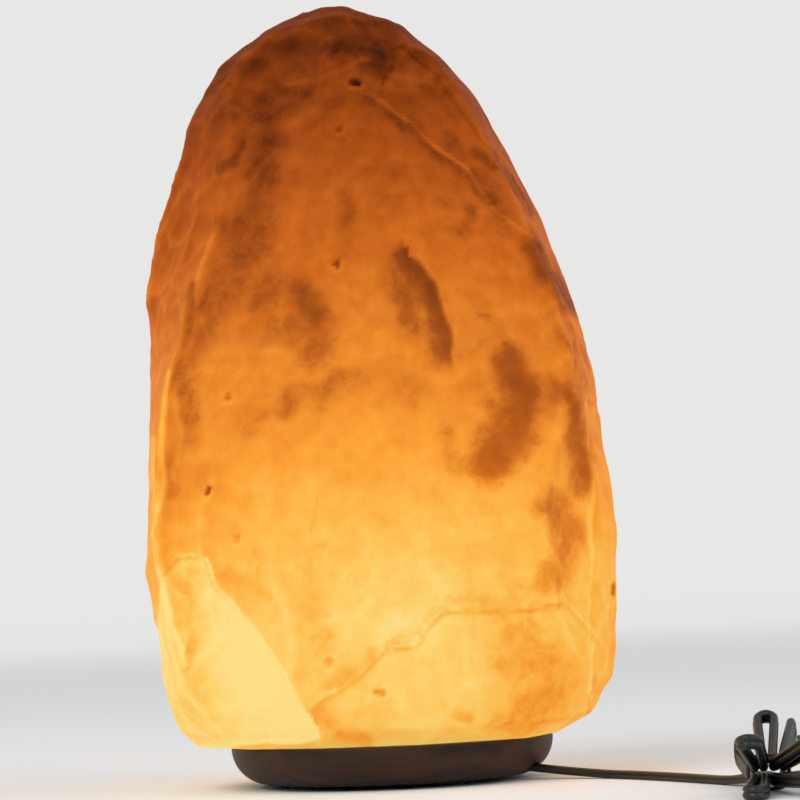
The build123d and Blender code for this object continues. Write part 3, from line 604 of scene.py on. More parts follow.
# ---------------------------------------------------------------- camera, light and floor
@dataclass
class Studio:
    """The camera as the photograph has it, a pale floor and backdrop, and plain soft light."""

    eye: Point = (0.0, -1.34, 0.080)
    aim: Point = (0.0088, 0.0, 0.152)
    lens: float = 150.75
    roll: float = -2.4
    floor: float = 3.4
    bend: float = 2.6
    backdrop: Point = (0.80, 0.80, 0.795)
    fade: Flat = (0.9, 4.2)
    steps: int = 96
    lights: tuple[tuple[str, Point, float, float], ...] = (
        ("key", (-1.3, -1.5, 1.7), 1.6, 26.0), ("fill", (1.6, -0.9, 1.1), 1.6, 9.0))
    light_aim: Point = (0, 0, 0.12)
    sky: tuple[float, ...] = (0.93, 0.94, 0.96, 1)
    sky_power: float = 0.62
    sky_seen: tuple[float, ...] = (0.93, 0.93, 0.925, 1)

    def camera(self) -> None:
        """Set the camera up, turned a little about its own axis."""
        data = bpy.data.cameras.new("camera")
        data.lens, data.sensor_width, data.clip_start = self.lens, 36.0, 0.02
        piece = linked("camera", data)
        look = (Vector(self.aim) - Vector(self.eye)).to_track_quat("-Z", "Y")
        turn = Quaternion((0, 0, 1), math.radians(self.roll))
        piece.rotation_euler = (look @ turn).to_euler()
        piece.location = self.eye
        bpy.context.scene.camera = piece

    def ground(self) -> None:
        """Lay a round floor that curves up all about into a backdrop far off, with no line between them."""
        turn = np.linspace(0, math.pi / 2, 25)
        profile = [(self.floor + self.bend * math.sin(a), self.bend * (1 - math.cos(a))) for a in turn]
        around = [FULL_TURN * n / self.steps for n in range(self.steps)]
        points = [(r * math.cos(a), r * math.sin(a), z) for r, z in profile for a in around]
        faces = [tuple(range(self.steps)), *bands(len(profile), self.steps)]
        bowl = edited(meshed("floor", points, faces), bpy.ops.mesh.normals_make_consistent, inside=True)
        dye = Dye("pale_floor")
        dye.wear(Base_Color=(0.93, 0.93, 0.92), Roughness=0.9, Specular_IOR_Level=0.05)
        distance = dye.place("ShaderNodeVectorMath", {"operation": "LENGTH"}, {0: dye.spot()}, out=1)
        camera, glossy, through = (dye.place("ShaderNodeLightPath", {}, {}, out=n) for n in (0, 3, 6))
        pale = dye.place("ShaderNodeEmission", {}, {"Color": self.backdrop, "Strength": 1.0})
        plain = Sock(dye, dye.shader.outputs[0])
        share = distance.step(*self.fade) * (camera + glossy + through)
        mixed = dye.place("ShaderNodeMixShader", {}, {0: share, 1: plain, 2: pale})
        dye.feed(next(n for n in dye.tree.nodes if n.type == "OUTPUT_MATERIAL").inputs[0], mixed)
        smooth(dressed(bowl, dye.material), 60)

    def lamps(self) -> None:
        """Hang one large soft lamp and a smaller one, under a pale sky."""
        for name, place, size, power in self.lights:
            data = bpy.data.lights.new(name, "AREA")
            data.size, data.energy = size, power
            piece = linked(name, data)
            piece.location = place
            way = Vector(self.light_aim) - Vector(place)
            piece.rotation_euler = way.to_track_quat("-Z", "Y").to_euler()
        world = bpy.data.worlds.new("sky")
        bpy.context.scene.world = world
        world.use_nodes = True
        tree = world.node_tree
        plain = tree.nodes["Background"]
        plain.inputs[0].default_value, plain.inputs[1].default_value = self.sky, self.sky_power
        seen = tree.nodes.new("ShaderNodeBackground")
        seen.inputs[0].default_value, seen.inputs[1].default_value = self.sky_seen, 1.0
        path, mix = tree.nodes.new("ShaderNodeLightPath"), tree.nodes.new("ShaderNodeMixShader")
        tree.links.new(path.outputs["Is Camera Ray"], mix.inputs[0])
        tree.links.new(plain.outputs[0], mix.inputs[1])
        tree.links.new(seen.outputs[0], mix.inputs[2])
        tree.links.new(mix.outputs[0], tree.nodes["World Output"].inputs[0])

    def build(self) -> None:
        """Set up all three."""
        bpy.context.scene.view_settings.view_transform = "Standard"
        self.camera()
        self.ground()
        self.lamps()


# ---------------------------------------------------------------- cords
@dataclass
class CordSet:
    """The flat two-core cord: along the floor to its tied hank, on to the switch, and then to the plug.

    Lengths are in millimetres. Each fold says how far its end lies sideways, up, and along the hank.
    """

    width: float = 5.2
    thickness: float = 3.2
    groove_azimuth: float = -20.0
    groove_height: float = 4.6
    joint_radius: float = 58.0
    tie_centre: Flat = (133.0, -147.0)
    tie_height: float = 6.7
    slots: tuple[Flat, ...] = (
        (-1.7, -2.7), (-5.1, -2.7), (-5.1, 2.7), (-1.7, 2.7),
        (1.7, 2.7), (5.1, 2.7), (5.1, -2.7), (1.7, -2.7))
    fold_height: float = 9.7
    waist_half: float = 8.0
    bend_radius: float = 3.4
    straight: float = 12.0
    floor: float = 1.65
    near_folds: tuple[Point, ...] = (
        (-9.5, -7.0, 43.0), (-10.4, 9.2, 37.5), (13.0, 9.5, 40.0), (9.5, -3.9, 43.0))
    far_folds: tuple[Point, ...] = ((-5.5, 2.0, 42.0), (4.0, 13.4, 38.0), (14.0, 8.0, 44.0))
    run: tuple[Flat, ...] = ((77, -28), (96, -53), (113, -85), (123, -107))
    to_switch: tuple[Flat, ...] = ((137, -109), (147, -93), (162, -82), (179, -73), (189, -57))
    to_plug: tuple[Flat, ...] = ((192.3, 62), (200, 88), (222, 106), (248, 102), (266, 82), (266, 56))
    switch_x: float = 192.0
    switch_end: float = 26.0
    switch_height: float = 6.0
    plug_mouth: Point = (254.0, 18.0, 6.85)
    lobe_steps: int = 8
    fold_shoulder: float = 0.94
    shoulder_rise: float = 0.7
    fold_rise: float = 2.4
    tie_wire: float = 0.0006
    tie_half: Flat = (0.0074, 0.0060)

    def slot_point(self, number: int, along: float) -> Point:
        """The middle of one strand where the tie holds it."""
        sideways, up = self.slots[number]
        return (self.tie_centre[0] + sideways, self.tie_centre[1] + along, self.tie_height + up)

    def fold_points(self, number: int, side: int) -> list[Point]:
        """The three corners round the fold from one strand to the next, and a point before and after them."""
        sideways, up, reach = (self.near_folds if side < 0 else self.far_folds)[number // 2]
        here, after = Vector(self.slot_point(number, 0)), Vector(self.slot_point(number + 1, 0))
        across = (after - here).normalized()
        middle = self.tie_centre
        end = Vector((middle[0] + sideways, middle[1] + side * reach, self.fold_height + up))
        outward = (end - (here + after) * 0.5).normalized()
        half = self.bend_radius * math.tan(math.radians(30))
        first, last = (end + across * way * self.fold_shoulder * self.bend_radius
                       + outward * self.shoulder_rise * half for way in (-1, 1))
        tip = end + outward * self.fold_rise * half
        step = (tip - first).length
        into, away = (Vector(self.slot_point(n, side * self.waist_half / 2)) for n in (number, number + 1))
        before, beyond = first + (into - first).normalized() * step, last + (away - last).normalized() * step
        return [tuple(corner) for corner in (before, first, tip, last, beyond)]

    def hank_points(self) -> list[Point]:
        """The hank's corners in order, in and out at the far side of the tie."""
        points = [self.slot_point(0, self.waist_half)]
        for number in range(len(self.slots)):
            side = -1 if number % 2 == 0 else 1
            if number > 0:
                points.append(self.slot_point(number, -side * self.waist_half / 2))
            if number < len(self.slots) - 1:
                points.append(self.slot_point(number, side * self.waist_half / 2))
                points += self.fold_points(number, side)
        points.append(self.slot_point(len(self.slots) - 1, self.waist_half))
        return points

    def on_floor(self, places: Iterable[Flat]) -> list[Point]:
        """Places along the floor, at the height of the cord's middle there."""
        return [(across, along, self.floor) for across, along in places]

    def main_route(self) -> list[Point]:
        """The route from the base's rim, by the hank, into the switch."""
        turn = math.radians(self.groove_azimuth)
        start = (self.joint_radius * math.cos(turn), self.joint_radius * math.sin(turn), self.groove_height)
        last, leave = len(self.slots) - 1, self.waist_half + self.straight
        return [start, *self.on_floor(self.run), self.slot_point(0, leave), *self.hank_points(),
                self.slot_point(last, leave), *self.on_floor(self.to_switch),
                (self.switch_x, -self.switch_end - self.straight, self.switch_height),
                (self.switch_x, -self.switch_end, self.switch_height)]

    def plug_route(self) -> list[Point]:
        """The route from the switch to the plug."""
        mouth = self.plug_mouth
        return [(self.switch_x, self.switch_end, self.switch_height),
                (self.switch_x, self.switch_end + self.straight, self.switch_height),
                *self.on_floor(self.to_plug), (mouth[0], mouth[1] + 1.5 * self.straight, mouth[2]), mouth]

    def line(self, name: str, route: list[Point]) -> Array:
        """Points read from the smooth spline that has the route's corners as its control points.

        Args:
            name: the spline's name while it exists.
            route: the corners, in millimetres.

        Returns:
            The points along it, in metres.
        """
        curve = bpy.data.curves.new(name, "CURVE")
        curve.dimensions = "3D"
        spline = curve.splines.new("NURBS")
        spline.points.add(len(route) - 1)
        for spot, corner in zip(spline.points, route):
            spot.co = (*(c * MM for c in corner), 1.0)
        spline.order_u = 3
        spline.use_endpoint_u = True
        spline.resolution_u = 12
        holder = linked(name, curve)
        bpy.context.view_layer.update()
        mesh = bpy.data.meshes.new_from_object(holder)
        points = np.array([v.co[:] for v in mesh.vertices])
        bpy.data.objects.remove(holder)
        bpy.data.meshes.remove(mesh)
        keep = np.r_[True, np.linalg.norm(np.diff(points, axis=0), axis=1) > 2e-4]
        return points[keep]

    def section(self) -> list[Flat]:
        """The two-lobed section, in metres: two round cores side by side with a groove between."""
        lobe = self.thickness / 2 * MM
        middle = (self.width - self.thickness) / 2 * MM
        waist = math.acos(-middle / lobe)
        right = [waist * (2 * n / self.lobe_steps - 1) for n in range(self.lobe_steps)]
        ring = [(middle + lobe * math.cos(a), lobe * math.sin(a)) for a in right]
        ring += [(-middle - lobe * math.cos(a), -lobe * math.sin(a)) for a in right]
        for spot in (0, self.lobe_steps):
            ring[spot] = (ring[spot][0], ring[spot][1] * 0.84)
        return ring

    def facing(self, path: Array, keys: dict[int, Vector]) -> list[Vector]:
        """Which way the cord's width lies at each point: carried along with no twist, then eased to the keys.

        Args:
            path: the points along the cord.
            keys: the wanted direction at some points, by number.

        Returns:
            One unit vector for each point.
        """
        tangents = headings(path)
        across = [tangents[0].cross(Vector((0, 0, 1))).normalized()]
        for before, after in zip(tangents, tangents[1:]):
            carried = before.rotation_difference(after) @ across[-1]
            across.append((carried - after * carried.dot(after)).normalized())
        spots, twists, last = [], [], 0.0
        for number in sorted(keys):
            tangent, wanted = tangents[number], keys[number]
            flat = (wanted - tangent * wanted.dot(tangent)).normalized()
            angle = math.atan2(across[number].cross(flat).dot(tangent), across[number].dot(flat))
            last = angle + math.pi * round((last - angle) / math.pi)
            spots.append(number)
            twists.append(last)
        eased = np.interp(range(len(path)), spots, twists)
        return [Quaternion(t, a) @ w for t, a, w in zip(tangents, eased, across)]

    def ribbon(self, name: str, path: Array, keys: dict[int, Vector]) -> Piece:
        """The cord itself: the section carried along a line, with a map that runs along it.

        Args:
            name: the piece's name.
            path: the points it follows.
            keys: the wanted direction of its width at some of them.

        Returns:
            The closed mesh.
        """
        ring = self.section()
        count = len(ring)
        tangents = headings(path)
        points = []
        for spot, tangent, across in zip(path, tangents, self.facing(path, keys)):
            up = tangent.cross(across)
            points += [Vector(spot) + across * u + up * v for u, v in ring]
        piece = meshed(name, points, bands(len(path), count, capped=True))
        run = np.r_[0, np.cumsum(np.linalg.norm(np.diff(path, axis=0), axis=1))]
        layer = piece.data.uv_layers.new(name="run")
        for polygon in piece.data.polygons:
            for loop in polygon.loop_indices:
                vertex = piece.data.loops[loop].vertex_index
                side = vertex % count
                if side == 0 and polygon.index % count == count - 1 and len(polygon.vertices) == 4:
                    side = count
                layer.data[loop].uv = (run[vertex // count], side / count * 0.014)
        return smooth(edited(piece, bpy.ops.mesh.normals_make_consistent, inside=False), 50)

    def nearest(self, path: Array, spot: Point) -> int:
        """The number of the path's point nearest to a place in millimetres."""
        return int(np.argmin(np.linalg.norm(path - np.array(spot) * MM, axis=1)))

    def strand_keys(self, path: Array) -> dict[int, Vector]:
        """Lay the width flat on the floor, and upright where each strand passes through the tie."""
        floor_end = self.nearest(path, (*self.run[-1], self.floor))
        floor_again = self.nearest(path, (*self.to_switch[0], self.floor))
        up = Vector((0, 0, 1))
        keys = {0: up.cross(Vector(path[1] - path[0])),
                floor_end: up.cross(Vector(path[floor_end + 1] - path[floor_end - 1]))}
        for number in range(len(self.slots)):
            lean = 0.18 * math.sin(2.4 * number)
            keys[self.nearest(path, self.slot_point(number, 0))] = Vector((lean, 0, 1)).normalized()
        keys[floor_again] = up.cross(Vector(path[floor_again + 1] - path[floor_again - 1]))
        keys[len(path) - 1] = Vector((1, 0, 0))
        return keys

    def tie(self) -> Piece:
        """The covered wire: two turns round the waist and its two ends twisted together."""
        middle = Vector((*self.tie_centre, self.tie_height)) * MM
        wire, turns, steps, lay, start = self.tie_wire, 2, 96, 0.0013, math.radians(40)
        tail_points, tail_length, twist, spread_from, spread, droop = 40, 0.0085, 0.42, 30, 0.00009, 0.0000012
        sides = 8
        forward = Vector((0, 1, 0))

        def around(angle: float) -> Vector:
            """A place on the rounded loop that the bundle fills."""
            bend = [math.copysign(abs(f(angle)) ** 0.6, f(angle)) for f in (math.cos, math.sin)]
            return middle + Vector((self.tie_half[0] * bend[0], 0, self.tie_half[1] * bend[1]))

        lines = [[around(start + FULL_TURN * n / steps) + Vector((0, (n / steps - 1) * lay, 0))
                  for n in range(turns * steps + 1)]]
        way = (around(start) - middle).normalized()
        side = way.cross(forward)
        for phase in (0.0, math.pi):
            tail = []
            for n in range(tail_points):
                angle = phase + n * twist
                wide = wire * 1.05 + max(0, n - spread_from) * spread
                tail.append(around(start) + way * (n / (tail_points - 1) * tail_length)
                            + side * wide * math.cos(angle) + forward * wide * math.sin(angle)
                            + side * n * n * droop)
            lines.append(tail)
        rounds = [(wire * math.cos(a), wire * math.sin(a))
                  for a in np.linspace(0, FULL_TURN, sides, endpoint=False)]
        parts = []
        for line in lines:
            path = np.array([p[:] for p in line])
            wide = self.facing(path, {0: Vector((0, 1, 0.01))})
            spots = [Vector(p) + w * u + t.cross(w) * v
                     for p, t, w in zip(path, headings(path), wide) for u, v in rounds]
            parts.append(meshed("tie_part", spots, bands(len(path), sides, capped=True)))
        chosen(parts[0])
        for part in parts:
            part.select_set(True)
        bpy.ops.object.join()
        joined = edited(bpy.context.object, bpy.ops.mesh.normals_make_consistent, inside=False)
        return smooth(settle(joined, "tie_wire"), 60)

    def build(self, sheath: Finish, wire: Finish) -> None:
        path = self.line("main_line", self.main_route())
        main = dressed(self.ribbon("cord_main", path, self.strand_keys(path)), sheath)
        report(main, Body.LAMP, Slot.CORD, "cord_run", "cord_hank", "cord_to_switch")
        tie = dressed(self.tie(), wire)
        report(tie, Body.LAMP, Slot.TIE, "twist_tie")
        lead_path = self.line("lead_line", self.plug_route())
        level = {0: Vector((1, 0, 0)), len(lead_path) - 1: Vector((1, 0, 0))}
        lead = dressed(self.ribbon("cord_lead", lead_path, level), sheath)
        report(lead, Body.LAMP, Slot.CORD, "cord_to_plug")
        lengths = [float(np.linalg.norm(np.diff(p, axis=0), axis=1).sum()) for p in (path, lead_path)]
        log.info("cord lengths %.3f and %.3f m", *lengths)


# ---------------------------------------------------------------- salt block
def beside(line: Sequence[Flat], across: Array, height: Array) -> tuple[Array, Array]:
    """How far points lie from a line of straight runs, and whether they lie on its left.

    Args:
        line: its corners, across and up.
        across: the points' places across.
        height: their heights.

    Returns:
        The distances, and which points are on the left of the nearest run.
    """
    nearest, left = np.full(across.shape, np.inf), np.zeros(across.shape, bool)
    for (ax, az), (bx, bz) in zip(line, line[1:]):
        dx, dz = bx - ax, bz - az
        share = np.clip(((across - ax) * dx + (height - az) * dz) / (dx * dx + dz * dz), 0, 1)
        far = np.hypot(across - ax - share * dx, height - az - share * dz)
        closer = far < nearest
        nearest = np.where(closer, far, nearest)
        left = np.where(closer, dx * (height - az) - dz * (across - ax) > 0, left)
    return nearest, left


@dataclass(frozen=True)
class Streak:
    """A dark streak along a line seen from the front, or a bright one if its depth is below 0. The dark ones
    are cloudy stains in the salt and painted shade along ledges and flake edges; the bright ones are painted
    highlights along thin edges and crests.

    Its points are across and up, in millimetres, and it fades out over its reach. Sharp ends it within its
    edge on one side of the line: 1 on the left of its way along, -1 on the right.
    """

    line: tuple[Flat, ...]
    reach: float
    depth: float
    sharp: int = 0
    edge: float = 3.0

    def field(self, across: Array, height: Array) -> Array:
        """The streak's strength at each point."""
        far, left = beside(self.line, across, height)
        share = np.clip(1 - far / self.reach, 0, 1)
        share = share * share * (3 - 2 * share)
        if self.sharp:
            cut = left == (self.sharp > 0)
            share = np.where(cut, share * np.clip(1 - far / self.edge, 0, 1), share)
        return self.depth * share


@dataclass(frozen=True)
class Flake:
    """A flake struck off the front: its outline, how deep its edge cuts, and how much brighter it glows."""

    outline: tuple[Flat, ...]
    cut: float
    light: float

    def inside(self, across: Array, height: Array) -> Array:
        """How far each point lies inside the outline, below 0 outside it."""
        closed = (*self.outline, self.outline[0])
        far, _ = beside(closed, across, height)
        within = np.zeros(across.shape, bool)
        for (ax, az), (bx, bz) in zip(closed, closed[1:]):
            crossing = (bx - ax) * (height - az) / (bz - az or 1e-9) + ax
            within ^= ((az > height) != (bz > height)) & (across < crossing)
        return np.where(within, far, -far)


def paired(numbers: Sequence[float]) -> tuple[Flat, ...]:
    """Places across and up, from their numbers in a row."""
    return tuple(zip(numbers[::2], numbers[1::2]))


# Each row: the line's places across and up, then its reach, its depth and its sharp side
STREAKS = tuple(Streak(paired(line), *look) for line, *look in (
    ((17, 202, 22, 193, 26, 182, 27, 171), 17, 0.95, 1),
    ((9, 201, 12, 189, 14, 175, 23, 167), 13, 0.5),
    ((-65, 188, -57, 194, -46, 196, -34, 193, -25, 184), 12, 0.5),
    ((-29, 191, -22, 184, -21, 176, -26, 167), 13, 0.7),
    ((-42, 190, -40, 181, -30, 176), 14, 0.5),
    ((-48, 174, -38, 174, -28, 180), 9, 0.3),
    ((-41, 268, -39, 249, -42, 234, -45, 221, -48, 208, -56, 195), 15, 0.55),
    ((-56, 195, -65, 180, -70, 169, -74, 154, -72, 138), 11, 0.5),
    ((50, 161, 56, 150, 53, 138, 46, 129, 41, 124), 17, 0.95),
    ((38, 131, 48, 138, 60, 142, 68, 151), 12, 0.6),
    ((26, 134, 29, 124, 38, 125, 45, 126), 9, 0.5),
    ((37, 156, 43, 146), 10, 0.35),
    ((75, 171, 80, 166, 79, 153), 10, 0.5),
    ((74, 151, 77, 137, 80, 124, 76, 111), 11, 0.75),
    ((67, 105, 72, 93, 64, 77), 15, 0.75),
    ((63, 45, 58, 32, 48, 23), 18, 0.6),
    ((25, 28, 29, 25), 6, 0.5),
    ((-28, 30, -21, 23, -10, 19), 8, 0.5),
    ((44, 245, 52, 238, 61, 227, 63, 222), 8, 0.6),
    ((63, 207, 65, 198, 67, 196, 72, 194, 78, 186), 11, 0.8),
    ((42, 236, 48, 224, 50, 216), 10, 0.5),
    ((39, 221, 35, 213), 7, 0.55),
    ((-30, 292, -20, 293, -12, 291, -4, 293), 10, 0.3),
    ((-13, 291, -2, 290, 6, 285, 7, 280), 11, 0.65),
    ((-35, 277, -28, 273, -21, 271), 10, 0.4),
    ((1, 282, 7, 288, 10, 283), 12, 0.45),
    ((-5, 275, -2.5, 274), 2.6, 0.8),
    ((2, 267, 7, 262, 19, 253, 27, 245, 39, 237), 9, 0.5, 1),
    ((-52, 270, -42, 260, -31, 266), 13, 0.45),
    ((-59, 245, -53, 246, -49, 253), 6, 0.6),
    ((-46, 239, -42, 243, -38, 247), 6, 0.65),
    ((-69, 197, -72, 182, -76, 170, -80, 157), 5, 0.5),
    ((-23, 153, -12, 158, -5, 159, 3, 156, 12, 151), 14, 0.42),
    ((-35, 147, -28, 152, -22, 149), 11, 0.45),
    ((-54, 140, -44, 144), 11, 0.35),
    ((-66, 119, -66.6, 117), 2.1, 0.9),
    ((91, 74, 90.4, 71.5), 2.3, 1.0),
    ((-14, 202, -13, 200.5), 2.0, 0.8),
    ((-4, 38.5, -2, 38), 2.4, 0.6),
    ((-9, 228, -8, 216), 8, 0.35),
    ((8, 237, 17, 232), 8, 0.35),
    ((-23, 135, -16, 123, -1, 119), 20, 0.22),
    ((40, 185, 47, 173, 36, 166), 17, 0.3),
    ((-66, 126, -61, 106, -51, 90), 18, 0.22),
    ((12, 236, 3, 209, -15, 222), 24, 0.15),
    ((-21, 155, -24, 131, -27, 102, -30, 77, -28, 62), 2.6, 0.25),
    ((-73, 156, -77, 139, -81, 128, -82, 114), 8, 0.45),
    ((-80, 86, -75, 76, -75, 60, -79, 50), 5, 0.4),
    ((-19, 41, -10, 45, -2, 53, 11, 56, 21, 66, 30, 67, 44, 67, 67, 66), 13, 0.5, -1),
    ((-27, 74, -25, 55, -19, 46), 13, 0.35),
    ((-52, 75, -32, 97, -39, 105), 18, 0.12),
    ((44, 86, 51, 75, 67, 70), 14, 0.3),
    ((48, 56, 51, 40, 57, 32), 24, 0.5),
    ((12, 262, 28, 240, 36, 224), 17, 0.26),
    ((33, 251, 46, 234, 54, 219), 10, 0.36),
    ((-60, 222, -50, 208, -38, 203), 14, 0.3),
    # From here on, rows with a depth under 0 are painted highlights: bright lines along thin edges and
    # crests, and last a bright patch near the bulb.
    ((-31, 278, -20, 278, -6, 283, 2, 285), 2.4, -0.3),
    ((4, 266, 19, 254, 39, 238), 2.4, -0.2),
    ((-73, 242, -80, 229, -85, 216), 2.2, -0.5),
    ((-61, 217, -66, 203, -68, 192), 2.2, -0.5),
    ((-80, 164, -85, 140, -84, 121, -89, 102, -86, 84, -79, 50), 2.2, -1.0),
    ((-89, 140, -90, 124, -88, 105), 2.2, -0.8),
    ((-78, 155, -77, 139, -81, 122), 2.2, -0.5),
    ((81, 145, 83, 121, 81, 101, 82, 77), 2.6, -0.4),
    ((81, 53, 77, 34), 2.4, -0.5),
    ((0, 57, 5, 62, 13, 60, 19, 68), 12, -0.55),
))
# Each row: the outline's places across and up, then how deep it cuts and how much brighter it glows
FLAKES = tuple(Flake(paired(line), *look) for line, *look in (
    ((-80, 93, -69, 92, -65, 80, -61, 75, -53, 68, -47, 59, -41, 48, -37, 36, -28, 22, -81, 15,
      -92, 36, -95, 60, -88, 80), 1.3, 0.16),
    ((-33, 32, -21, 39, -10, 45, -2, 53, 11, 56, 21, 66, 30, 67, 45, 67, 67, 68, 85, 53, 79, 22,
      41, 12, -24, 12, -29, 21), 1.0, 0.0),
    ((3, 269, 19, 254, 39, 238, 49, 219, 65, 209, 58, 235, 40, 263, 24, 284, 15, 292, 10, 290, 9,
      279), 0.6, 0.02),
    ((82, 149, 83, 101, 79, 69, 79, 30, 100, 28, 105, 148), 0.6, -0.02),
))


@dataclass
class SaltBlock:
    """The hewn block: hollow scallops, worn crests, pits and flakes, and the bulb's light painted into it."""

    voxel: float = 0.00156
    bulb: Point = (0.0, 0.0, 0.062)
    foot: float = 0.017
    bore: float = 0.0285
    bore_top: float = 0.124
    swell: float = 0.0016
    glow_by_distance: tuple[Flat, ...] = (
        (0.055, 0.98), (0.077, 0.91), (0.094, 0.78), (0.109, 0.66), (0.128, 0.585), (0.156, 0.455),
        (0.190, 0.315), (0.220, 0.19), (0.245, 0.12))
    flank: Flat = (0.045, 0.03)
    crown: Flat = (0.20, 0.08)
    deepest: float = 0.0038
    edge_blur: float = 1.2
    pit_depth: float = 0.0016
    lean_light: float = 0.34
    under_shade: float = 0.10
    line_light: float = 0.17
    crest_height: float = 0.0004
    streaks: tuple[Streak, ...] = STREAKS
    flakes: tuple[Flake, ...] = FLAKES

    def scallops(self, spot: Vector) -> float:
        """How far the surface stands proud at a place, in metres: hollow flakes with crests between them."""
        flank = held((abs(spot.x) - self.flank[0]) / self.flank[1])
        front = 1.0 if spot.y < 0 else 0.0
        crown = held((spot.z - self.crown[0]) / self.crown[1])
        warp = noise.noise_vector(spot * 24) * 0.011
        worn = held(0.62 + 1.5 * noise.noise(spot * 17 + Vector((3.1, 0.7, 5.2))), 0.15)
        right = 0.6 if spot.x > 0 and spot.y < 0.03 else 1.0
        tall = Vector(((spot.x + warp.x) * 34, (spot.y + warp.y) * 34, (spot.z + warp.z) * 20))
        near = noise.voronoi(tall, distance_metric="DISTANCE", exponent=2.5)[0]
        small = noise.voronoi((spot + warp * 0.6) * 78, distance_metric="DISTANCE", exponent=2.5)[0]
        big = (0.0006 + self.deepest * max(right * flank, 0.42 * crown, 0.75 * (1 - front))) * worn
        fine = 0.0003 + 0.0006 * max(right * flank, crown) * worn
        return (big * (near[0] ** 2 - 0.30) * 1.5 + fine * (small[0] ** 2 - 0.3) * 1.5
                + 0.0016 * noise.noise(spot * 22) + 0.0007 * noise.noise(spot * 60)
                + 0.0003 * noise.noise(spot * 150))

    def pits(self, spot: Vector) -> float:
        """How deep a small pit is at a place, in metres."""
        near = noise.voronoi(spot * 46, distance_metric="DISTANCE", exponent=2.5)
        chance = noise.noise(near[1][0] * 9.7)
        return self.pit_depth * max(0.0, 1 - near[0][0] / 0.11) if chance > 0.25 else 0.0

    def around(self, mesh: bpy.types.Mesh) -> Callable[[Array, int], Array]:
        """A function that averages values over each point's neighbours, so many times."""
        edges = np.zeros(len(mesh.edges) * 2, int)
        mesh.edges.foreach_get("vertices", edges)
        a, b = edges.reshape(-1, 2).T
        count = np.bincount(np.r_[a, b], minlength=len(mesh.vertices)).clip(1)[:, None]

        def averaged(values: Array, times: int) -> Array:
            """Average the rows of values over neighbours."""
            for _ in range(times):
                total = np.zeros_like(values)
                for column in range(values.shape[1]):
                    total[:, column] = (np.bincount(a, values[b, column], len(values))
                                        + np.bincount(b, values[a, column], len(values)))
                values = 0.5 * values + 0.5 * total / count
            return values
        return averaged

    def read(self, mesh: bpy.types.Mesh) -> tuple[Array, Array]:
        """Each point's place and normal."""
        co, normal = np.zeros(len(mesh.vertices) * 3), np.zeros(len(mesh.vertices) * 3)
        mesh.vertices.foreach_get("co", co)
        mesh.vertex_normals.foreach_get("vector", normal)
        return co.reshape(-1, 3), normal.reshape(-1, 3)

    def seen(self, co: Array) -> tuple[Array, Array, Array]:
        """Points' places seen from the front, in millimetres on wandering axes, and their share in it."""
        drift = np.array([noise.noise_vector(Vector(p) * 34) * 2.6 + noise.noise_vector(Vector(p) * 120) * 1.3
                          for p in co])
        share = np.clip(0.8 - co[:, 1] / 0.04, 0, 1)
        return co[:, 0] * 1000 + drift[:, 0], co[:, 2] * 1000 + drift[:, 2], share

    def shape(self) -> Piece:
        """The block's CAD solid, worn soft at its edges and given its scallops, pits and flakes."""
        piece = copy_of("salt_crystal", "salt_block")
        modified(piece, "REMESH", mode="VOXEL", voxel_size=self.voxel)
        co, normal = self.read(piece.data)
        averaged = self.around(piece.data)
        reach = np.hypot(co[:, 0], co[:, 1])
        inside = (reach < self.bore) & (co[:, 2] < self.bore_top)
        free = np.clip((co[:, 2] - self.foot - 0.0005) / 0.004, 0, 1) * ~inside
        worn = averaged(co, 7)
        middle = (np.clip(1.5 - np.abs(co[:, 0]) / 0.014, 0, 1) * np.clip((co[:, 2] - 0.09) / 0.04, 0, 1)
                  * np.clip((0.285 - co[:, 2]) / 0.02, 0, 1))
        even = averaged(worn, 40)
        worn += (even - worn) * middle[:, None]
        co += (worn - co) * free[:, None]
        out = averaged(normal, 8)
        out /= np.linalg.norm(out, axis=1)[:, None].clip(1e-9)
        proud = np.array([self.scallops(Vector(p)) - self.pits(Vector(p)) if f > 0 else 0.0
                          for p, f in zip(co, free)])
        proud += self.swell * np.clip(-out[:, 0], 0, 1) - averaged(proud[:, None], 260)[:, 0] * 0.85
        across, height, front = self.seen(co)
        for flake in self.flakes:
            depth = flake.inside(across, height)
            step = np.clip(depth / self.edge_blur, 0, 1) * np.exp(-np.clip(depth, 0, 99) / 9)
            proud -= front * MM * flake.cut * step
        for streak in self.streaks:
            if streak.reach <= 3 and streak.depth > 0.55:
                proud -= front * MM * 1.1 * streak.field(across, height)
        co += out * (proud * free)[:, None]
        piece.data.vertices.foreach_set("co", co.ravel())
        piece.data.update()
        return piece

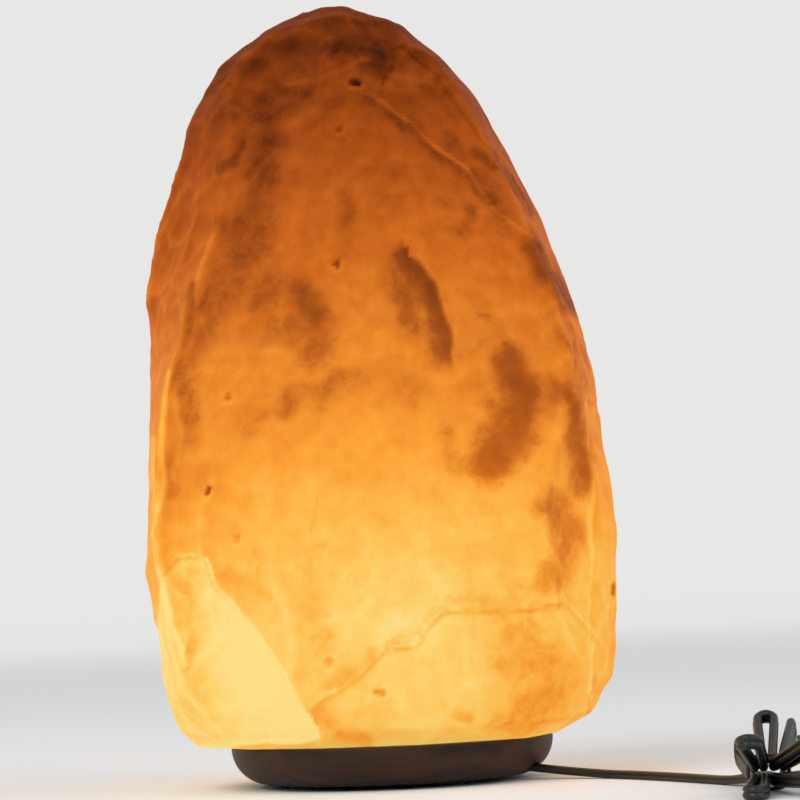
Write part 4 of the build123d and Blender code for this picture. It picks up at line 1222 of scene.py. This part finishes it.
    def light(self, piece: Piece) -> None:
        """Keep on each point the bulb's light painted onto it, the cloudy stains together with painted shade
        along ledges and flake edges, and the painted light on its crests and shade in its hollows.
        """
        co, normal = self.read(piece.data)
        averaged = self.around(piece.data)
        ray = co - np.array(self.bulb)
        distance = np.linalg.norm(ray, axis=1)
        ray /= distance[:, None]
        spans, tones = zip(*self.glow_by_distance)
        soft = averaged(normal, 90)
        soft /= np.linalg.norm(soft, axis=1)[:, None].clip(1e-9)
        # Painted light: faces that turn away from the bulb glow brighter, and faces turned down are painted
        # in shade.
        facing = np.einsum("ij,ij->i", normal - soft, ray)
        side = 1 - self.under_shade * np.clip(-soft[:, 2], 0, 1)
        glow = np.interp(distance, spans, tones) * side + self.lean_light * np.clip(facing, -0.5, 0.5)
        # Painted light on crests and painted shade in hollows.
        crest = np.einsum("ij,ij->i", co - averaged(co, 4), normal) / self.crest_height
        across, height, front = self.seen(co)
        for flake in self.flakes:
            depth = flake.inside(across, height)
            rim = 0.7 + 0.6 * np.exp(-np.abs(depth) / 8)
            glow += front * flake.light * np.clip(depth / self.edge_blur + 0.5, 0, 1) * rim
        # The dark streaks are cloudy stains and painted shade along ledges and flake edges; the bright ones
        # are painted highlights along thin edges and crests.
        dark, bright = np.zeros(len(co)), np.zeros(len(co))
        for streak in self.streaks:
            field = streak.field(across, height)
            dark, bright = np.maximum(dark, field), np.minimum(bright, field)
        glow -= self.line_light * front * bright
        wild = np.array([1.7 * noise.noise(Vector(p) * 24) + 0.8 * noise.noise(Vector(p) * 62) - 0.30
                         for p in co])
        cloud = dark * front + np.clip(wild, 0, 1) * (1 - front)
        for name, values in (("glow", glow), ("cloud", cloud), ("crest", np.clip(crest, -1, 1.4) * 0.4)):
            layer = piece.data.attributes.new(name, "FLOAT", "POINT")
            layer.data.foreach_set("value", values.astype(np.float32))

    def build(self, finish: Finish) -> None:
        """Make and dress the block."""
        piece = self.shape()
        self.light(piece)
        piece.data.polygons.foreach_set("use_smooth", [True] * len(piece.data.polygons))
        dressed(piece, finish)
        report(piece, Body.LAMP, Slot.SALT, "salt_crystal")


# ---------------------------------------------------------------- holder and bulb
@dataclass
class Holder:
    """The cord in the base's groove, from the base's rim to the holder's clamp."""

    clamp_reach: float = 2.8
    rows: int = 60

    def build(self, cords: CordSet, sheath: Finish) -> None:
        """Make the stretch from the base's rim to the clamp."""
        turn = math.radians(cords.groove_azimuth)
        reach = np.linspace(cords.joint_radius + 0.1, self.clamp_reach, self.rows) * MM
        path = np.array([(r * math.cos(turn), r * math.sin(turn), cords.groove_height * MM) for r in reach])
        level = Vector((math.sin(turn), -math.cos(turn), 0))
        piece = cords.ribbon("cord_in_groove", path, {0: level, self.rows - 1: level})
        dressed(piece, sheath)
        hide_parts("cord_inner")
        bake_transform(piece)
        log.info("%s: bends from lamp to holder", piece.name)


@dataclass
class Bulb:
    """The bulb's rolled screw cap."""

    radius: float = 6.55
    bottom: float = 31.0
    top: float = 43.4
    pitch: float = 2.822
    depth: float = 0.42
    steps: int = 96
    rows: int = 74

    def cap(self) -> Piece:
        """The cap's wall, with a round thread wound up it and a plain lip and shoulder at its ends."""
        points = []
        for row in range(self.rows + 1):
            height = self.bottom + (self.top - self.bottom) * row / self.rows
            low = held((height - self.bottom - 0.6) / 1.2)
            high = held((self.top - 1.0 - height) / 0.8)
            for n in range(self.steps):
                angle = FULL_TURN * n / self.steps
                wave = math.cos(FULL_TURN * height / self.pitch - angle)
                wall = self.radius + low * high * self.depth * 0.8 * wave
                wall -= (1 - min(1.0, (height - self.bottom) / 0.9)) * 1.1
                points.append((wall * math.cos(angle) * MM, wall * math.sin(angle) * MM, height * MM))
        piece = meshed("bulb_thread", points, bands(self.rows + 1, self.steps))
        modified(piece, "SOLIDIFY", thickness=0.0003, offset=-1.0)
        return smooth(piece, 60)

    def build(self, metal: Finish) -> None:
        """Make the threaded cap."""
        report(dressed(self.cap(), metal), Body.BULB, Slot.NICKEL, "bulb_cap")


# ---------------------------------------------------------------- everything
def paint_nodes() -> dict[str, Finish]:
    """Give every CAD node that stays a better material, by its material slot.

    Returns:
        The finishes by slot, for the new pieces.
    """
    steel = Metal("plated_steel", (0.58, 0.58, 0.59), 0.28)
    finishes: dict[str, Any] = {
        "salt": GlowingSalt(), "dark_wood": TurnedWood(), "felt": Felt(), "steel": steel,
        "spring_steel": Metal("spring_steel", (0.46, 0.46, 0.49), 0.24, (1500, 300, 300)),
        "grey_plastic": Moulded("grey_nylon", (0.36, 0.36, 0.37), 0.5),
        "black_plastic": Moulded("black_shell", (0.012, 0.012, 0.012), 0.44),
        "rocker_plastic": Moulded("rocker_gloss", (0.010, 0.010, 0.010), 0.26, 600, 0.00002),
        "soft_plastic": Moulded("soft_relief", (0.010, 0.010, 0.0105), 0.55, 700, 0.00005),
        "ceramic": Porcelain(), "brass": Metal("brass", (0.74, 0.54, 0.24), 0.30),
        "solder": Metal("solder", (0.56, 0.56, 0.57), 0.38, (500, 500, 500)),
        "black_glass": Moulded("vitrite", (0.012, 0.012, 0.016), 0.12, 300, 0.00003),
        "nickel": Metal("nickel", (0.66, 0.64, 0.60), 0.24), "bulb_glass": BulbGlass(),
        "stem_glass": BulbGlass("stem_glass", (0.92, 0.93, 0.92), 0.42, 0.15), "filament": HotWire(),
        "cord": CordSheath(), "tie": Moulded("tie_cover", (0.011, 0.011, 0.011), 0.5)}
    made = {slot: finish.make() for slot, finish in finishes.items()}
    for part in frame["record"]["subparts"]:
        node = frame["nodes"][part["node"]]
        for place in node.material_slots:
            place.material = made[part["material_slot"]]
        log.info("%s: %s", part["node"], part["material_slot"])
    return made


def main() -> None:
    """Build the whole scene."""
    logging.basicConfig(level=logging.INFO, format="%(name)s %(message)s")
    noise.seed_set(NOISE_SEED)  # without it noise_vector is seeded from the clock
    Studio().build()
    finishes = paint_nodes()
    cords = CordSet()
    cords.build(finishes["cord"], finishes["tie"])
    SaltBlock().build(finishes["salt"])
    Holder().build(cords, finishes["cord"])
    Bulb().build(finishes["nickel"])
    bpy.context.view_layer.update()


if __name__ == "__main__":
    main()
